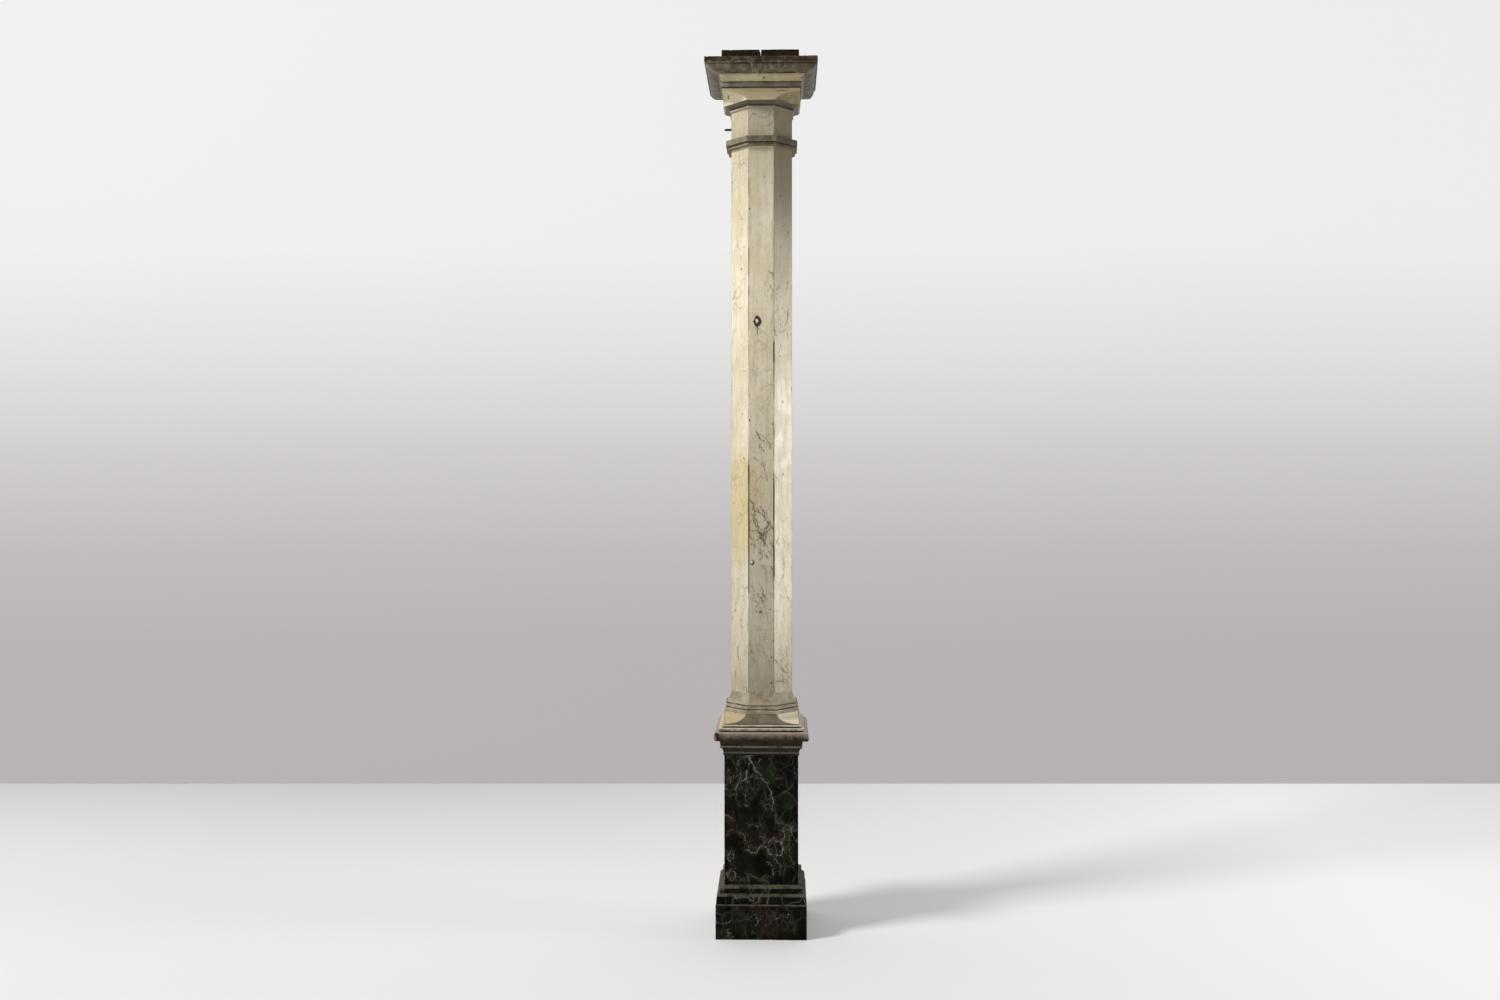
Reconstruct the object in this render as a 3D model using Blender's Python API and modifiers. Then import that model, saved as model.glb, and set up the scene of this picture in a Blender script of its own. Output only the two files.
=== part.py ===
"""An eight-sided painted wooden column on a square pedestal.

Metres, +Z up. The origin is the middle of the plinth's underside and the front faces -Y.
Heights stack from the floor up. Widths follow the shaft: each moulding stands off the
member that it is planted on or carried by, so the whole column follows its shaft.
"""
import math

import bmesh
import bpy
from mathutils import Matrix, Vector

# Fits
JOINT_GAP = 0.0003            # between two pieces that touch

# Shaft, coopered from mitred staves
SHAFT_SIDES = 8
SHAFT_FLATS = 0.204           # across the flats
STAVE_THICKNESS = 0.026
SHAFT_HEIGHT = 1.816          # bare shaft, from the apophyge to the neck ring
NECK_HEIGHT = 0.0945          # bare neck, from the neck ring to the capital moulding

# Base ring around the foot of the shaft
BASE_LOWER_PROJECTION = 0.0224
BASE_LOWER_HEIGHT = 0.0132
BASE_UPPER_SETBACK = 0.0044
BASE_UPPER_HEIGHT = 0.0134
APOPHYGE_SETBACK = 0.0010
APOPHYGE_HEIGHT = 0.0392
APOPHYGE_EDGE = 0.0010        # thickness left where it dies into the shaft

# Neck ring
NECK_LOWER_PROJECTION = 0.0112
NECK_LOWER_HEIGHT = 0.0100
NECK_UPPER_PROJECTION = 0.0177
NECK_UPPER_HEIGHT = 0.0195

# Eight-sided moulding under the capital
CAPITAL_FILLET_PROJECTION = 0.0050
CAPITAL_FILLET_HEIGHT = 0.0072
CAPITAL_COVE_PROJECTION = 0.0154
CAPITAL_COVE_HEIGHT = 0.0116
CAPITAL_COVE_LIP = 0.0016

# Square block of the column's base, its upper corners cut to the octagon by hollow stops
BASE_BLOCK_MARGIN = 0.0008    # outside the base ring
BASE_BLOCK_HEIGHT = 0.0345
BASE_STOP_HEIGHT = 0.0320

# Square steps under the base block
STEP_PROJECTION = 0.0061      # upper step, outside the block
LOWER_STEP_PROJECTION = 0.0102
UPPER_STEP_HEIGHT = 0.0090
LOWER_STEP_HEIGHT = 0.0112

# Capital block, its lower corners cut to the octagon in the same way
CAPITAL_BLOCK_MARGIN = 0.0061
CAPITAL_BLOCK_HEIGHT = 0.0391
CAPITAL_STOP_HEIGHT = 0.0265
CAPITAL_STOP_MARGIN = 0.0016  # of the stops, outside the moulding below

# Mouldings of the capital
BAND_PROJECTION = 0.0034
BAND_HEIGHT = 0.0197
BED_PROJECTION = 0.0126
BED_HEIGHT = 0.0214
BED_FILLET = 0.0014
ABACUS_OVOLO_PROJECTION = 0.0360
ABACUS_OVOLO_HEIGHT = 0.0238
ABACUS_FILLET_PROJECTION = 0.0047
ABACUS_FILLET_HEIGHT = 0.0205

# Two boards on top of the abacus
TOP_BOARD_THICKNESS = 0.0397
TOP_BOARD_WIDTH = 0.1255
TOP_BOARD_DEPTH = 0.2510
TOP_BOARD_SPACING = 0.0050
TOP_BOARD_SHIFT = -0.0034     # of the gap between them, from the middle

# Pedestal cap, from the die up
CAP_FILLET_PROJECTION = 0.0034
CAP_FILLET_HEIGHT = 0.0086
CAP_LOWER_COVE_PROJECTION = 0.0088
CAP_LOWER_COVE_HEIGHT = 0.0160
CAP_BEAD_PROJECTION = 0.0010
CAP_BEAD_HEIGHT = 0.0080
CAP_UPPER_COVE_PROJECTION = 0.0041
CAP_UPPER_COVE_HEIGHT = 0.0180
CORONA_SOFFIT = 0.0100
CORONA_THROAT_PROJECTION = 0.0070
CORONA_THROAT_HEIGHT = 0.0075
CORONA_NOSING_SETBACK = 0.0095
CORONA_NOSING_HEIGHT = 0.0218
CORONA_TOP_MARGIN = 0.0054    # of its flat top, outside the lower step

# Die of the pedestal, a box open at its ends
DIE_HEIGHT = 0.4270
DIE_WALL = 0.0250

# Base moulding of the pedestal, from the plinth up
TORUS_HEIGHT = 0.0255
TORUS_SHOULDER = 0.0025       # how far its rounding swells
TORUS_SLOPE_PROJECTION = 0.0090
TORUS_SLOPE_HEIGHT = 0.0080
BASE_FILLET_HEIGHT = 0.0156
BASE_FILLET_HOLLOW = 0.0012
BASE_SLOPE_PROJECTION = 0.0140
BASE_SLOPE_HEIGHT = 0.0086

# Plinth
PLINTH_HEIGHT = 0.1150
PLINTH_MARGIN = 0.0024        # outside the base moulding
PLINTH_CHAMFER = 0.0040

# Quirks, the narrow sunk lines between mouldings
QUIRK_DEPTH = 0.0030
QUIRK_HEIGHT = 0.0016

# Iron pin, driven into the left side of the neck
PIN_DIAMETER = 0.0055
PIN_PROJECTION = 0.0245
PIN_EMBEDDED = 0.0160
PIN_POINT = 0.0015            # rounding of its end
PIN_HEIGHT_IN_NECK = 0.0500   # above the neck ring
PIN_SIDES = 16

# Fineness of the curves
ARC_STEPS = 7
STOP_SEGMENTS = 56
STOP_OVERRUN = 1.1            # how much longer a stop's cutter is than its cut
MERGE_DISTANCE = 0.00001

SQUARE = 4
LEFT = -1
RIGHT = 1


class Profile:
    """The outline of a moulding, drawn from its foot up, as (half width, height) points."""

    def __init__(self, half, height):
        self.points = [(half, height)]

    def move(self, outwards, upwards):
        """A straight run: level, upright or sloping."""
        half, height = self.points[-1]
        self.points.append((half + outwards, height + upwards))
        return self

    def curve(self, outwards, upwards, upright_first):
        """A quarter of an ellipse that starts upright, or else starts level."""
        half, height = self.points[-1]
        for step in range(1, ARC_STEPS + 1):
            angle = math.pi / 2 * step / ARC_STEPS
            fast = math.sin(angle)
            slow = 1 - math.cos(angle)
            across, along = (slow, fast) if upright_first else (fast, slow)
            self.points.append((half + outwards * across, height + upwards * along))
        return self

    def quirk(self, outwards=0):
        """A narrow groove, sunk behind both the face below it and the face above it."""
        sunk = QUIRK_DEPTH - min(outwards, 0)
        return self.move(-sunk, 0).move(0, QUIRK_HEIGHT).move(sunk + outwards, 0)

    @property
    def half(self):
        return self.points[-1][0]

    @property
    def top(self):
        return self.points[-1][1]


def new_collection(name):
    collection = bpy.data.collections.new(name)
    bpy.context.scene.collection.children.link(collection)
    return collection


def new_material(name, colour, roughness, metallic=0.0):
    material = bpy.data.materials.new(name)
    material.use_nodes = True
    shader = material.node_tree.nodes["Principled BSDF"]
    shader.inputs["Base Color"].default_value = (*colour, 1.0)
    shader.inputs["Roughness"].default_value = roughness
    shader.inputs["Metallic"].default_value = metallic
    material.diffuse_color = (*colour, 1.0)
    return material


def new_object(name, mesh, material, collection):
    mesh.materials.append(material)
    item = bpy.data.objects.new(name, mesh)
    collection.objects.link(item)
    return item


def new_cutter(name, mesh, collection):
    cutter = bpy.data.objects.new(name, mesh)
    collection.objects.link(cutter)
    cutter.hide_render = True
    cutter.display_type = "WIRE"
    return cutter


def mesh_from(bm, name):
    mesh = bpy.data.meshes.new(name)
    bm.to_mesh(mesh)
    bm.free()
    return mesh


def turn(name, points, sides, material, collection, closed=False):
    """Sweep a profile around the axis in a few flat sides, with flats on the main axes."""
    corner = 1 / math.cos(math.pi / sides)
    downwards = list(reversed(points))
    links = [(i, i + 1) for i in range(len(downwards) - 1)]
    if closed:
        links.append((len(downwards) - 1, 0))
    mesh = bpy.data.meshes.new(name)
    mesh.from_pydata([(half * corner, 0, height) for half, height in downwards], links, [])
    item = new_object(name, mesh, material, collection)
    item.rotation_euler.z = math.pi / sides
    screw = item.modifiers.new("Sides", "SCREW")
    screw.axis = "Z"
    screw.angle = 2 * math.pi
    screw.steps = sides
    screw.render_steps = sides
    screw.use_merge_vertices = True
    screw.merge_threshold = MERGE_DISTANCE
    screw.use_normal_calculate = False
    screw.use_smooth_shade = False
    return item


def turn_solid(name, profile, sides, material, collection):
    """A moulding that is solid through to the axis."""
    foot = profile.points[0][1]
    points = [(0, foot)] + profile.points + [(0, profile.top)]
    return turn(name, points, sides, material, collection)


def turn_ring(name, profile, bore, sides, material, collection):
    """A moulding with a straight bore, planted around the member inside it."""
    foot = profile.points[0][1]
    points = profile.points + [(bore, profile.top), (bore, foot)]
    return turn(name, points, sides, material, collection, closed=True)


def add_stop_cutter(name, block_half, octagon_half, height, stop_height, collection):
    """Four elliptical drums, one across each corner, that cut the hollow stops of a block."""
    corner = block_half * math.sqrt(2)
    depth = corner - octagon_half
    length = 2 * depth * STOP_OVERRUN
    bm = bmesh.new()
    for quarter in range(SQUARE):
        drum = bmesh.ops.create_cone(
            bm, cap_ends=True, segments=STOP_SEGMENTS, radius1=1, radius2=1, depth=1)
        stand = Matrix.Rotation(math.pi / 2, 4, "X")
        shape = Matrix.Diagonal((depth, length, stop_height, 1))
        place = Matrix.Translation((corner, 0, height))
        around = Matrix.Rotation(math.pi / 4 + quarter * math.pi / 2, 4, "Z")
        bmesh.ops.transform(bm, matrix=around @ place @ shape @ stand, verts=drum["verts"])
    return new_cutter(name, mesh_from(bm, name), collection)


def cut(item, cutter):
    boolean = item.modifiers.new("Cut " + cutter.name, "BOOLEAN")
    boolean.operation = "DIFFERENCE"
    boolean.solver = "EXACT"
    boolean.object = cutter


def add_box(name, size, centre, material, collection):
    bm = bmesh.new()
    bmesh.ops.create_cube(bm, size=1, matrix=Matrix.Diagonal((*size, 1)))
    item = new_object(name, mesh_from(bm, name), material, collection)
    item.location = centre


def add_stave(name, index, foot, top, material, collection):
    """One mitred board of the shaft, its outer face on a flat of the octagon."""
    outer = SHAFT_FLATS / 2
    half_angle = math.pi / SHAFT_SIDES
    bm = bmesh.new()
    bmesh.ops.create_cube(bm, size=1)
    for vert in bm.verts:
        face = outer if vert.co.x > 0 else outer - STAVE_THICKNESS
        side = face * math.tan(half_angle) - JOINT_GAP / 2 / math.cos(half_angle)
        height = top if vert.co.z > 0 else foot
        vert.co = Vector((face, math.copysign(side, vert.co.y), height))
    stave = new_object(name, mesh_from(bm, name), material, collection)
    stave.rotation_euler.z = index * 2 * half_angle
    return stave


def drum_mesh(name, diameter, length):
    """A cylinder lying along X."""
    bm = bmesh.new()
    bmesh.ops.create_cone(
        bm, cap_ends=True, segments=PIN_SIDES, radius1=diameter / 2, radius2=diameter / 2,
        depth=length, matrix=Matrix.Rotation(math.pi / 2, 4, "Y"))
    return mesh_from(bm, name)


def build_pedestal(model):
    """The square pedestal, from the floor to the top of its corona."""
    dark = {name: new_material(name, (0.020, 0.024, 0.019), 0.38)
            for name in ("plinth marbling", "base moulding marbling", "die marbling")}
    cap_paint = new_material("cap marbling", (0.045, 0.043, 0.034), 0.42)

    # The chain of widths, from the shaft down to the die
    block = base_block_half()
    corona_top = block + STEP_PROJECTION + LOWER_STEP_PROJECTION + CORONA_TOP_MARGIN
    corona = corona_top + CORONA_NOSING_SETBACK
    die = (corona - CORONA_THROAT_PROJECTION - CORONA_SOFFIT - CAP_UPPER_COVE_PROJECTION
           - CAP_BEAD_PROJECTION - CAP_LOWER_COVE_PROJECTION - CAP_FILLET_PROJECTION)
    torus = die + BASE_SLOPE_PROJECTION + TORUS_SLOPE_PROJECTION + TORUS_SHOULDER
    plinth = torus + PLINTH_MARGIN

    foot = Profile(plinth, 0)
    foot.move(0, PLINTH_HEIGHT - PLINTH_CHAMFER).move(-PLINTH_CHAMFER, PLINTH_CHAMFER)
    turn_solid("plinth", foot, SQUARE, dark["plinth marbling"], model)

    base = Profile(torus - TORUS_SHOULDER, foot.top + JOINT_GAP)
    base.curve(TORUS_SHOULDER, TORUS_HEIGHT / 2, False)
    base.curve(-TORUS_SHOULDER, TORUS_HEIGHT / 2, True)
    base.move(-TORUS_SLOPE_PROJECTION, TORUS_SLOPE_HEIGHT)
    base.move(-BASE_FILLET_HOLLOW, BASE_FILLET_HEIGHT / 2)
    base.move(BASE_FILLET_HOLLOW, BASE_FILLET_HEIGHT / 2)
    base.move(-BASE_SLOPE_PROJECTION, BASE_SLOPE_HEIGHT)
    turn_solid("plinth_moulding", base, SQUARE, dark["base moulding marbling"], model)

    box = Profile(die, base.top + JOINT_GAP)
    box.move(0, DIE_HEIGHT)
    turn_ring("die", box, die - DIE_WALL, SQUARE, dark["die marbling"], model)

    cap = Profile(die + CAP_FILLET_PROJECTION, box.top + JOINT_GAP)
    cap.move(0, CAP_FILLET_HEIGHT)
    cap.curve(CAP_LOWER_COVE_PROJECTION, CAP_LOWER_COVE_HEIGHT, True)
    cap.move(CAP_BEAD_PROJECTION, 0).move(0, CAP_BEAD_HEIGHT)
    cap.curve(CAP_UPPER_COVE_PROJECTION, CAP_UPPER_COVE_HEIGHT, True)
    cap.move(CORONA_SOFFIT, 0)
    cap.curve(CORONA_THROAT_PROJECTION, CORONA_THROAT_HEIGHT, False)
    cap.curve(-CORONA_NOSING_SETBACK, CORONA_NOSING_HEIGHT, True)
    turn_solid("pedestal_cap", cap, SQUARE, cap_paint, model)
    return cap.top


def base_block_half():
    return SHAFT_FLATS / 2 + BASE_LOWER_PROJECTION + BASE_BLOCK_MARGIN


def build_base(foot, model, cutters):
    """The two steps and the block that carry the shaft."""
    step_paint = new_material("step paint", (0.230, 0.205, 0.150), 0.55)
    block_paint = new_material("base block paint", (0.300, 0.270, 0.200), 0.55)
    block_half = base_block_half()
    upper_half = block_half + STEP_PROJECTION

    height = foot
    steps = (("lower_step", upper_half + LOWER_STEP_PROJECTION, LOWER_STEP_HEIGHT),
             ("upper_step", upper_half, UPPER_STEP_HEIGHT))
    for name, half, rise in steps:
        step = Profile(half - QUIRK_DEPTH, height + JOINT_GAP)
        step.move(0, QUIRK_HEIGHT).move(QUIRK_DEPTH, 0).move(0, rise - QUIRK_HEIGHT)
        turn_solid(name, step, SQUARE, step_paint, model)
        height = step.top

    block = Profile(block_half - QUIRK_DEPTH, height + JOINT_GAP)
    block.move(0, QUIRK_HEIGHT).move(QUIRK_DEPTH, 0).move(0, BASE_BLOCK_HEIGHT - QUIRK_HEIGHT)
    solid = turn_solid("base_block", block, SQUARE, block_paint, model)
    octagon_half = SHAFT_FLATS / 2 + BASE_LOWER_PROJECTION
    cut(solid, add_stop_cutter("base_stops", block_half, octagon_half, block.top,
                               BASE_STOP_HEIGHT, cutters))
    return block.top


def build_shaft(foot, model, cutters):
    """The eight staves, and the mouldings planted around their foot, neck and head."""
    paints = [new_material(f"stave paint {i + 1}", (0.560, 0.500, 0.370), 0.50)
              for i in range(SHAFT_SIDES)]
    ring_paint = new_material("ring paint", (0.330, 0.300, 0.230), 0.55)
    neck_paint = new_material("neck ring paint", (0.190, 0.170, 0.120), 0.55)
    capital_paint = new_material("capital moulding paint", (0.170, 0.160, 0.125), 0.55)
    shaft_half = SHAFT_FLATS / 2
    bore = shaft_half + JOINT_GAP

    ring = Profile(shaft_half + BASE_LOWER_PROJECTION, foot + JOINT_GAP)
    ring.move(0, BASE_LOWER_HEIGHT - QUIRK_HEIGHT).quirk(-BASE_UPPER_SETBACK)
    ring.move(0, BASE_UPPER_HEIGHT - QUIRK_HEIGHT).quirk(-APOPHYGE_SETBACK)
    flare = ring.half - bore - APOPHYGE_EDGE
    ring.curve(-flare, APOPHYGE_HEIGHT, False)
    turn_ring("base_ring", ring, bore, SHAFT_SIDES, ring_paint, model)

    neck_foot = ring.top + SHAFT_HEIGHT
    neck = Profile(shaft_half + NECK_LOWER_PROJECTION, neck_foot)
    neck.move(0, NECK_LOWER_HEIGHT).quirk(NECK_UPPER_PROJECTION - NECK_LOWER_PROJECTION)
    neck.move(0, NECK_UPPER_HEIGHT)
    turn_ring("neck_ring", neck, bore, SHAFT_SIDES, neck_paint, model)

    head = Profile(shaft_half + CAPITAL_FILLET_PROJECTION, neck.top + NECK_HEIGHT)
    head.move(0, CAPITAL_FILLET_HEIGHT).quirk()
    head.curve(CAPITAL_COVE_PROJECTION, CAPITAL_COVE_HEIGHT - CAPITAL_COVE_LIP, True)
    head.move(0, CAPITAL_COVE_LIP)
    turn_ring("capital_moulding", head, bore, SHAFT_SIDES, capital_paint, model)

    staves = [add_stave(f"stave_{i + 1}", i, foot + JOINT_GAP, head.top, paints[i], model)
              for i in range(SHAFT_SIDES)]
    left_stave = staves[SHAFT_SIDES // 2]
    add_pin(neck.top + PIN_HEIGHT_IN_NECK, left_stave, model, cutters)
    return head


def add_pin(height, stave, model, cutters):
    """The iron pin, and the bore in the stave that holds it."""
    iron = new_material("pin iron", (0.030, 0.027, 0.024), 0.60, 0.9)
    face = -SHAFT_FLATS / 2
    length = PIN_PROJECTION + PIN_EMBEDDED
    pin = new_object("iron_pin", drum_mesh("iron_pin", PIN_DIAMETER, length), iron, model)
    pin.location = (face - PIN_PROJECTION + length / 2, 0, height)
    rounding = pin.modifiers.new("Rounded ends", "BEVEL")
    rounding.width = PIN_POINT
    rounding.segments = 2
    rounding.limit_method = "ANGLE"
    bore_mesh = drum_mesh("pin_bore", PIN_DIAMETER + 2 * JOINT_GAP,
                          2 * (PIN_EMBEDDED + JOINT_GAP))
    bore = new_cutter("pin_bore", bore_mesh, cutters)
    bore.location = (face, 0, height)
    cut(stave, bore)


def build_capital(head, model, cutters):
    """The block, its mouldings, the abacus and the two boards on top."""
    cream = new_material("capital cream paint", (0.520, 0.460, 0.320), 0.50)
    grey = new_material("capital grey paint", (0.170, 0.155, 0.120), 0.50)
    bed_paint = new_material("bed moulding paint", (0.450, 0.390, 0.260), 0.50)
    abacus_paint = new_material("abacus paint", (0.120, 0.105, 0.075), 0.55)
    bare = new_material("bare board", (0.040, 0.030, 0.018), 0.80)

    block_half = head.half + CAPITAL_BLOCK_MARGIN
    block = Profile(block_half, head.top + JOINT_GAP)
    foot = block.top
    block.move(0, CAPITAL_BLOCK_HEIGHT - QUIRK_HEIGHT)
    block.move(-QUIRK_DEPTH, 0).move(0, QUIRK_HEIGHT)
    solid = turn_solid("capital_block", block, SQUARE, cream, model)
    cut(solid, add_stop_cutter("capital_stops", block_half, head.half + CAPITAL_STOP_MARGIN,
                               foot, CAPITAL_STOP_HEIGHT, cutters))

    band = Profile(block_half + BAND_PROJECTION, block.top + JOINT_GAP)
    band.move(0, BAND_HEIGHT - QUIRK_HEIGHT).move(-QUIRK_DEPTH, 0).move(0, QUIRK_HEIGHT)
    turn_solid("capital_band", band, SQUARE, grey, model)

    bed = Profile(block_half + BAND_PROJECTION, band.top + JOINT_GAP)
    bed.move(0, BED_FILLET)
    bed.curve(BED_PROJECTION, BED_HEIGHT - BED_FILLET, True)
    turn_solid("bed_moulding", bed, SQUARE, bed_paint, model)

    abacus = Profile(bed.half - QUIRK_DEPTH, bed.top + JOINT_GAP)
    abacus.move(0, QUIRK_HEIGHT).move(QUIRK_DEPTH, 0)
    abacus.curve(ABACUS_OVOLO_PROJECTION, ABACUS_OVOLO_HEIGHT - QUIRK_HEIGHT, False)
    abacus.move(ABACUS_FILLET_PROJECTION, 0).move(0, ABACUS_FILLET_HEIGHT)
    turn_solid("abacus", abacus, SQUARE, abacus_paint, model)

    middle = abacus.top + JOINT_GAP + TOP_BOARD_THICKNESS / 2
    for name, side in (("top_board_left", LEFT), ("top_board_right", RIGHT)):
        across = TOP_BOARD_SHIFT + side * (TOP_BOARD_SPACING + TOP_BOARD_WIDTH) / 2
        size = (TOP_BOARD_WIDTH, TOP_BOARD_DEPTH, TOP_BOARD_THICKNESS)
        add_box(name, size, (across, 0, middle), bare, model)


def main():
    for item in list(bpy.data.objects):
        bpy.data.objects.remove(item, do_unlink=True)
    model = new_collection("octagonal_column")
    cutters = new_collection("cutters")
    pedestal_top = build_pedestal(model)
    block_top = build_base(pedestal_top, model, cutters)
    head = build_shaft(block_top, model, cutters)
    build_capital(head, model, cutters)


main()
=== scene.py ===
"""The painted eight-sided column on its marbled pedestal, dressed for its picture.

Every member is rebuilt here as a fine mesh in the place of its plain solid, with softened
and worn arrises, and painted with a finish made of noise, cells and ridges alone.
"""

import math

import bpy
import numpy as np
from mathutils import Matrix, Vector


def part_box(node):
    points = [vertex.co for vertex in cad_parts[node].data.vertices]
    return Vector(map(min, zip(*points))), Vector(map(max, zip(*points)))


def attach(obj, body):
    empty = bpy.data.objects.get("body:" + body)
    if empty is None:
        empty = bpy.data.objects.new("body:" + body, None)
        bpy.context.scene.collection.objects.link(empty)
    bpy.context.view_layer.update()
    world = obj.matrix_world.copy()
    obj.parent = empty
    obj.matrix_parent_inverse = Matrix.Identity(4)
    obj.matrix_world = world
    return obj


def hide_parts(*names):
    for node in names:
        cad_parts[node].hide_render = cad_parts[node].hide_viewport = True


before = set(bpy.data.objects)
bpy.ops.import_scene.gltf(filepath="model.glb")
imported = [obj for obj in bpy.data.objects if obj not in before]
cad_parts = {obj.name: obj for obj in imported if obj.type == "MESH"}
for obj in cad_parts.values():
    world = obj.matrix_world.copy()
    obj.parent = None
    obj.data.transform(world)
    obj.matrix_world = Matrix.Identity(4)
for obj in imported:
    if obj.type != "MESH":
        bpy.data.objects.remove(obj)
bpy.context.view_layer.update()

# Shared sizes, in metres
JOINT_GAP = 0.0003
QUIRK_DEPTH = 0.0030
QUIRK_HEIGHT = 0.0016
SHAFT_HALF = 0.102
FRONT_REACH = 0.0424          # half of the shaft's front face, and a hair past its arrises
STAVE_THICKNESS = 0.026
DIE_WALL = 0.025
SQUARE = 4
OCTAGON = 8
ARC_STEPS = 12

# Fineness of the meshes
SPACING = 0.005
OUTLINE_SPACING = 0.0035
FLAT_SPACING = 0.018
FINE_MARGIN = 0.006           # of a level face next to its arris, which keeps the fine spacing
SHORT_OF_END = 0.999          # keeps the margin's point off the end of a shorter run
CORE_SHARE = 0.3              # of its width, where a solid member's level faces stop
ROUNDING_STEPS = 4
SHARP_ANGLE = math.radians(38)

# Wear
ARRIS_ROUNDING = 0.0010
EDGE_REACH = 0.0030           # how far from an arris its wear is felt
CHIP_DEPTH = 0.0016
WAVE_DEPTH = 0.00035


# Noise in numbers, for the shapes

def lattice(x, y, z, seed):
    """A fixed value from 0 to 1 for each point of a whole-number grid."""
    mixed = (x * 374761393 + y * 668265263 + z * 1442695041 + seed * 974634777)
    mixed = mixed.astype(np.int64) & 0xFFFFFFFF
    mixed = ((mixed ^ (mixed >> 13)) * 1274126177) & 0xFFFFFFFF
    mixed = (mixed ^ (mixed >> 16)) & 0xFFFFFF
    return mixed / 0xFFFFFF


def noise(points, scale, seed=0):
    """Smooth noise from 0 to 1."""
    scaled = points * scale
    cell = np.floor(scaled).astype(np.int64)
    part = scaled - cell
    part = part * part * (3 - 2 * part)
    total = np.zeros(len(points))
    for dx in (0, 1):
        for dy in (0, 1):
            for dz in (0, 1):
                weight = np.ones(len(points))
                for axis, step in enumerate((dx, dy, dz)):
                    weight = weight * (part[:, axis] if step else 1 - part[:, axis])
                value = lattice(cell[:, 0] + dx, cell[:, 1] + dy, cell[:, 2] + dz, seed)
                total += weight * value
    return total


def layered(points, scale, octaves=3, seed=0):
    """Several sizes of noise together, from 0 to 1."""
    total = np.zeros(len(points))
    reach = 0.0
    for octave in range(octaves):
        amount = 0.5 ** octave
        total += amount * noise(points, scale * 2 ** octave, seed + octave)
        reach += amount
    return total / reach


def smooth(values, low, high):
    """A soft step, from 0 at low to 1 at high."""
    part = np.clip((values - low) / (high - low), 0, 1)
    return part * part * (3 - 2 * part)


# Outlines of mouldings

class Profile:
    """The outline of a moulding, drawn from its foot up, as (half width, height) points."""

    def __init__(self, half, height):
        self.points = [(half, height)]

    def move(self, outwards, upwards):
        half, height = self.points[-1]
        self.points.append((half + outwards, height + upwards))
        return self

    def curve(self, outwards, upwards, upright_first):
        """A quarter of an ellipse that starts upright, or else starts level."""
        half, height = self.points[-1]
        for step in range(1, ARC_STEPS + 1):
            angle = math.pi / 2 * step / ARC_STEPS
            fast = math.sin(angle)
            slow = 1 - math.cos(angle)
            across, along = (slow, fast) if upright_first else (fast, slow)
            self.points.append((half + outwards * across, height + upwards * along))
        return self

    def quirk(self, outwards=0):
        """A sunk groove, above which the outline may step out or in."""
        sunk = QUIRK_DEPTH - min(outwards, 0)
        return self.move(-sunk, 0).move(0, QUIRK_HEIGHT).move(sunk + outwards, 0)

    @property
    def half(self):
        return self.points[-1][0]

    @property
    def top(self):
        return self.points[-1][1]


def rounded(points, radius):
    """The same outline with its corners softened."""
    points = [np.array(p, float) for p in points]
    result = [points[0]]
    for before, corner, after in zip(points, points[1:], points[2:]):
        inward, outward = corner - before, after - corner
        long_in, long_out = np.linalg.norm(inward), np.linalg.norm(outward)
        if long_in < 1e-7 or long_out < 1e-7:
            continue
        turn = np.dot(inward, outward) / (long_in * long_out)
        if turn > math.cos(math.radians(25)):
            result.append(corner)
            continue
        cut = min(radius, long_in * 0.45, long_out * 0.45)
        start, end = corner - inward / long_in * cut, corner + outward / long_out * cut
        for step in range(ROUNDING_STEPS + 1):
            t = step / ROUNDING_STEPS
            result.append((1 - t) ** 2 * start + 2 * t * (1 - t) * corner + t * t * end)
    result.append(points[-1])
    return result


def spaced(points, spacing):
    """The same outline with its long runs divided, the level first and last ones coarsely."""
    first, last = points[0] - points[1], points[-1] - points[-2]
    near_start = points[1] + first * min(1, FINE_MARGIN / np.linalg.norm(first)) * SHORT_OF_END
    near_end = points[-2] + last * min(1, FINE_MARGIN / np.linalg.norm(last)) * SHORT_OF_END
    points = [points[0], near_start] + list(points[1:-1]) + [near_end, points[-1]]
    result = [points[0]]
    for index, (before, after) in enumerate(zip(points, points[1:])):
        reach = FLAT_SPACING if index in (0, len(points) - 2) else spacing
        count = max(1, math.ceil(np.linalg.norm(after - before) / reach))
        for step in range(1, count + 1):
            result.append(before + (after - before) * step / count)
    return np.array(result)


def turning(outline):
    """How convex and how hollow the outline is around each of its points, from 0 to 1."""
    runs = np.diff(outline, axis=0)
    angles = np.unwrap(np.arctan2(runs[:, 1], runs[:, 0]))
    turn = np.zeros(len(outline))
    turn[1:-1] = np.diff(angles)
    along = np.concatenate([[0], np.cumsum(np.linalg.norm(runs, axis=1))])
    apart = along[:, None] - along[None, :]
    near = np.exp(-(apart / EDGE_REACH) ** 2)
    convex = near @ np.clip(turn, 0, None) / (math.pi / 2)
    hollow = near @ np.clip(-turn, 0, None) / (math.pi / 2)
    return np.clip(convex, 0, 1), np.clip(hollow, 0, 1)


# Meshes

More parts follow.
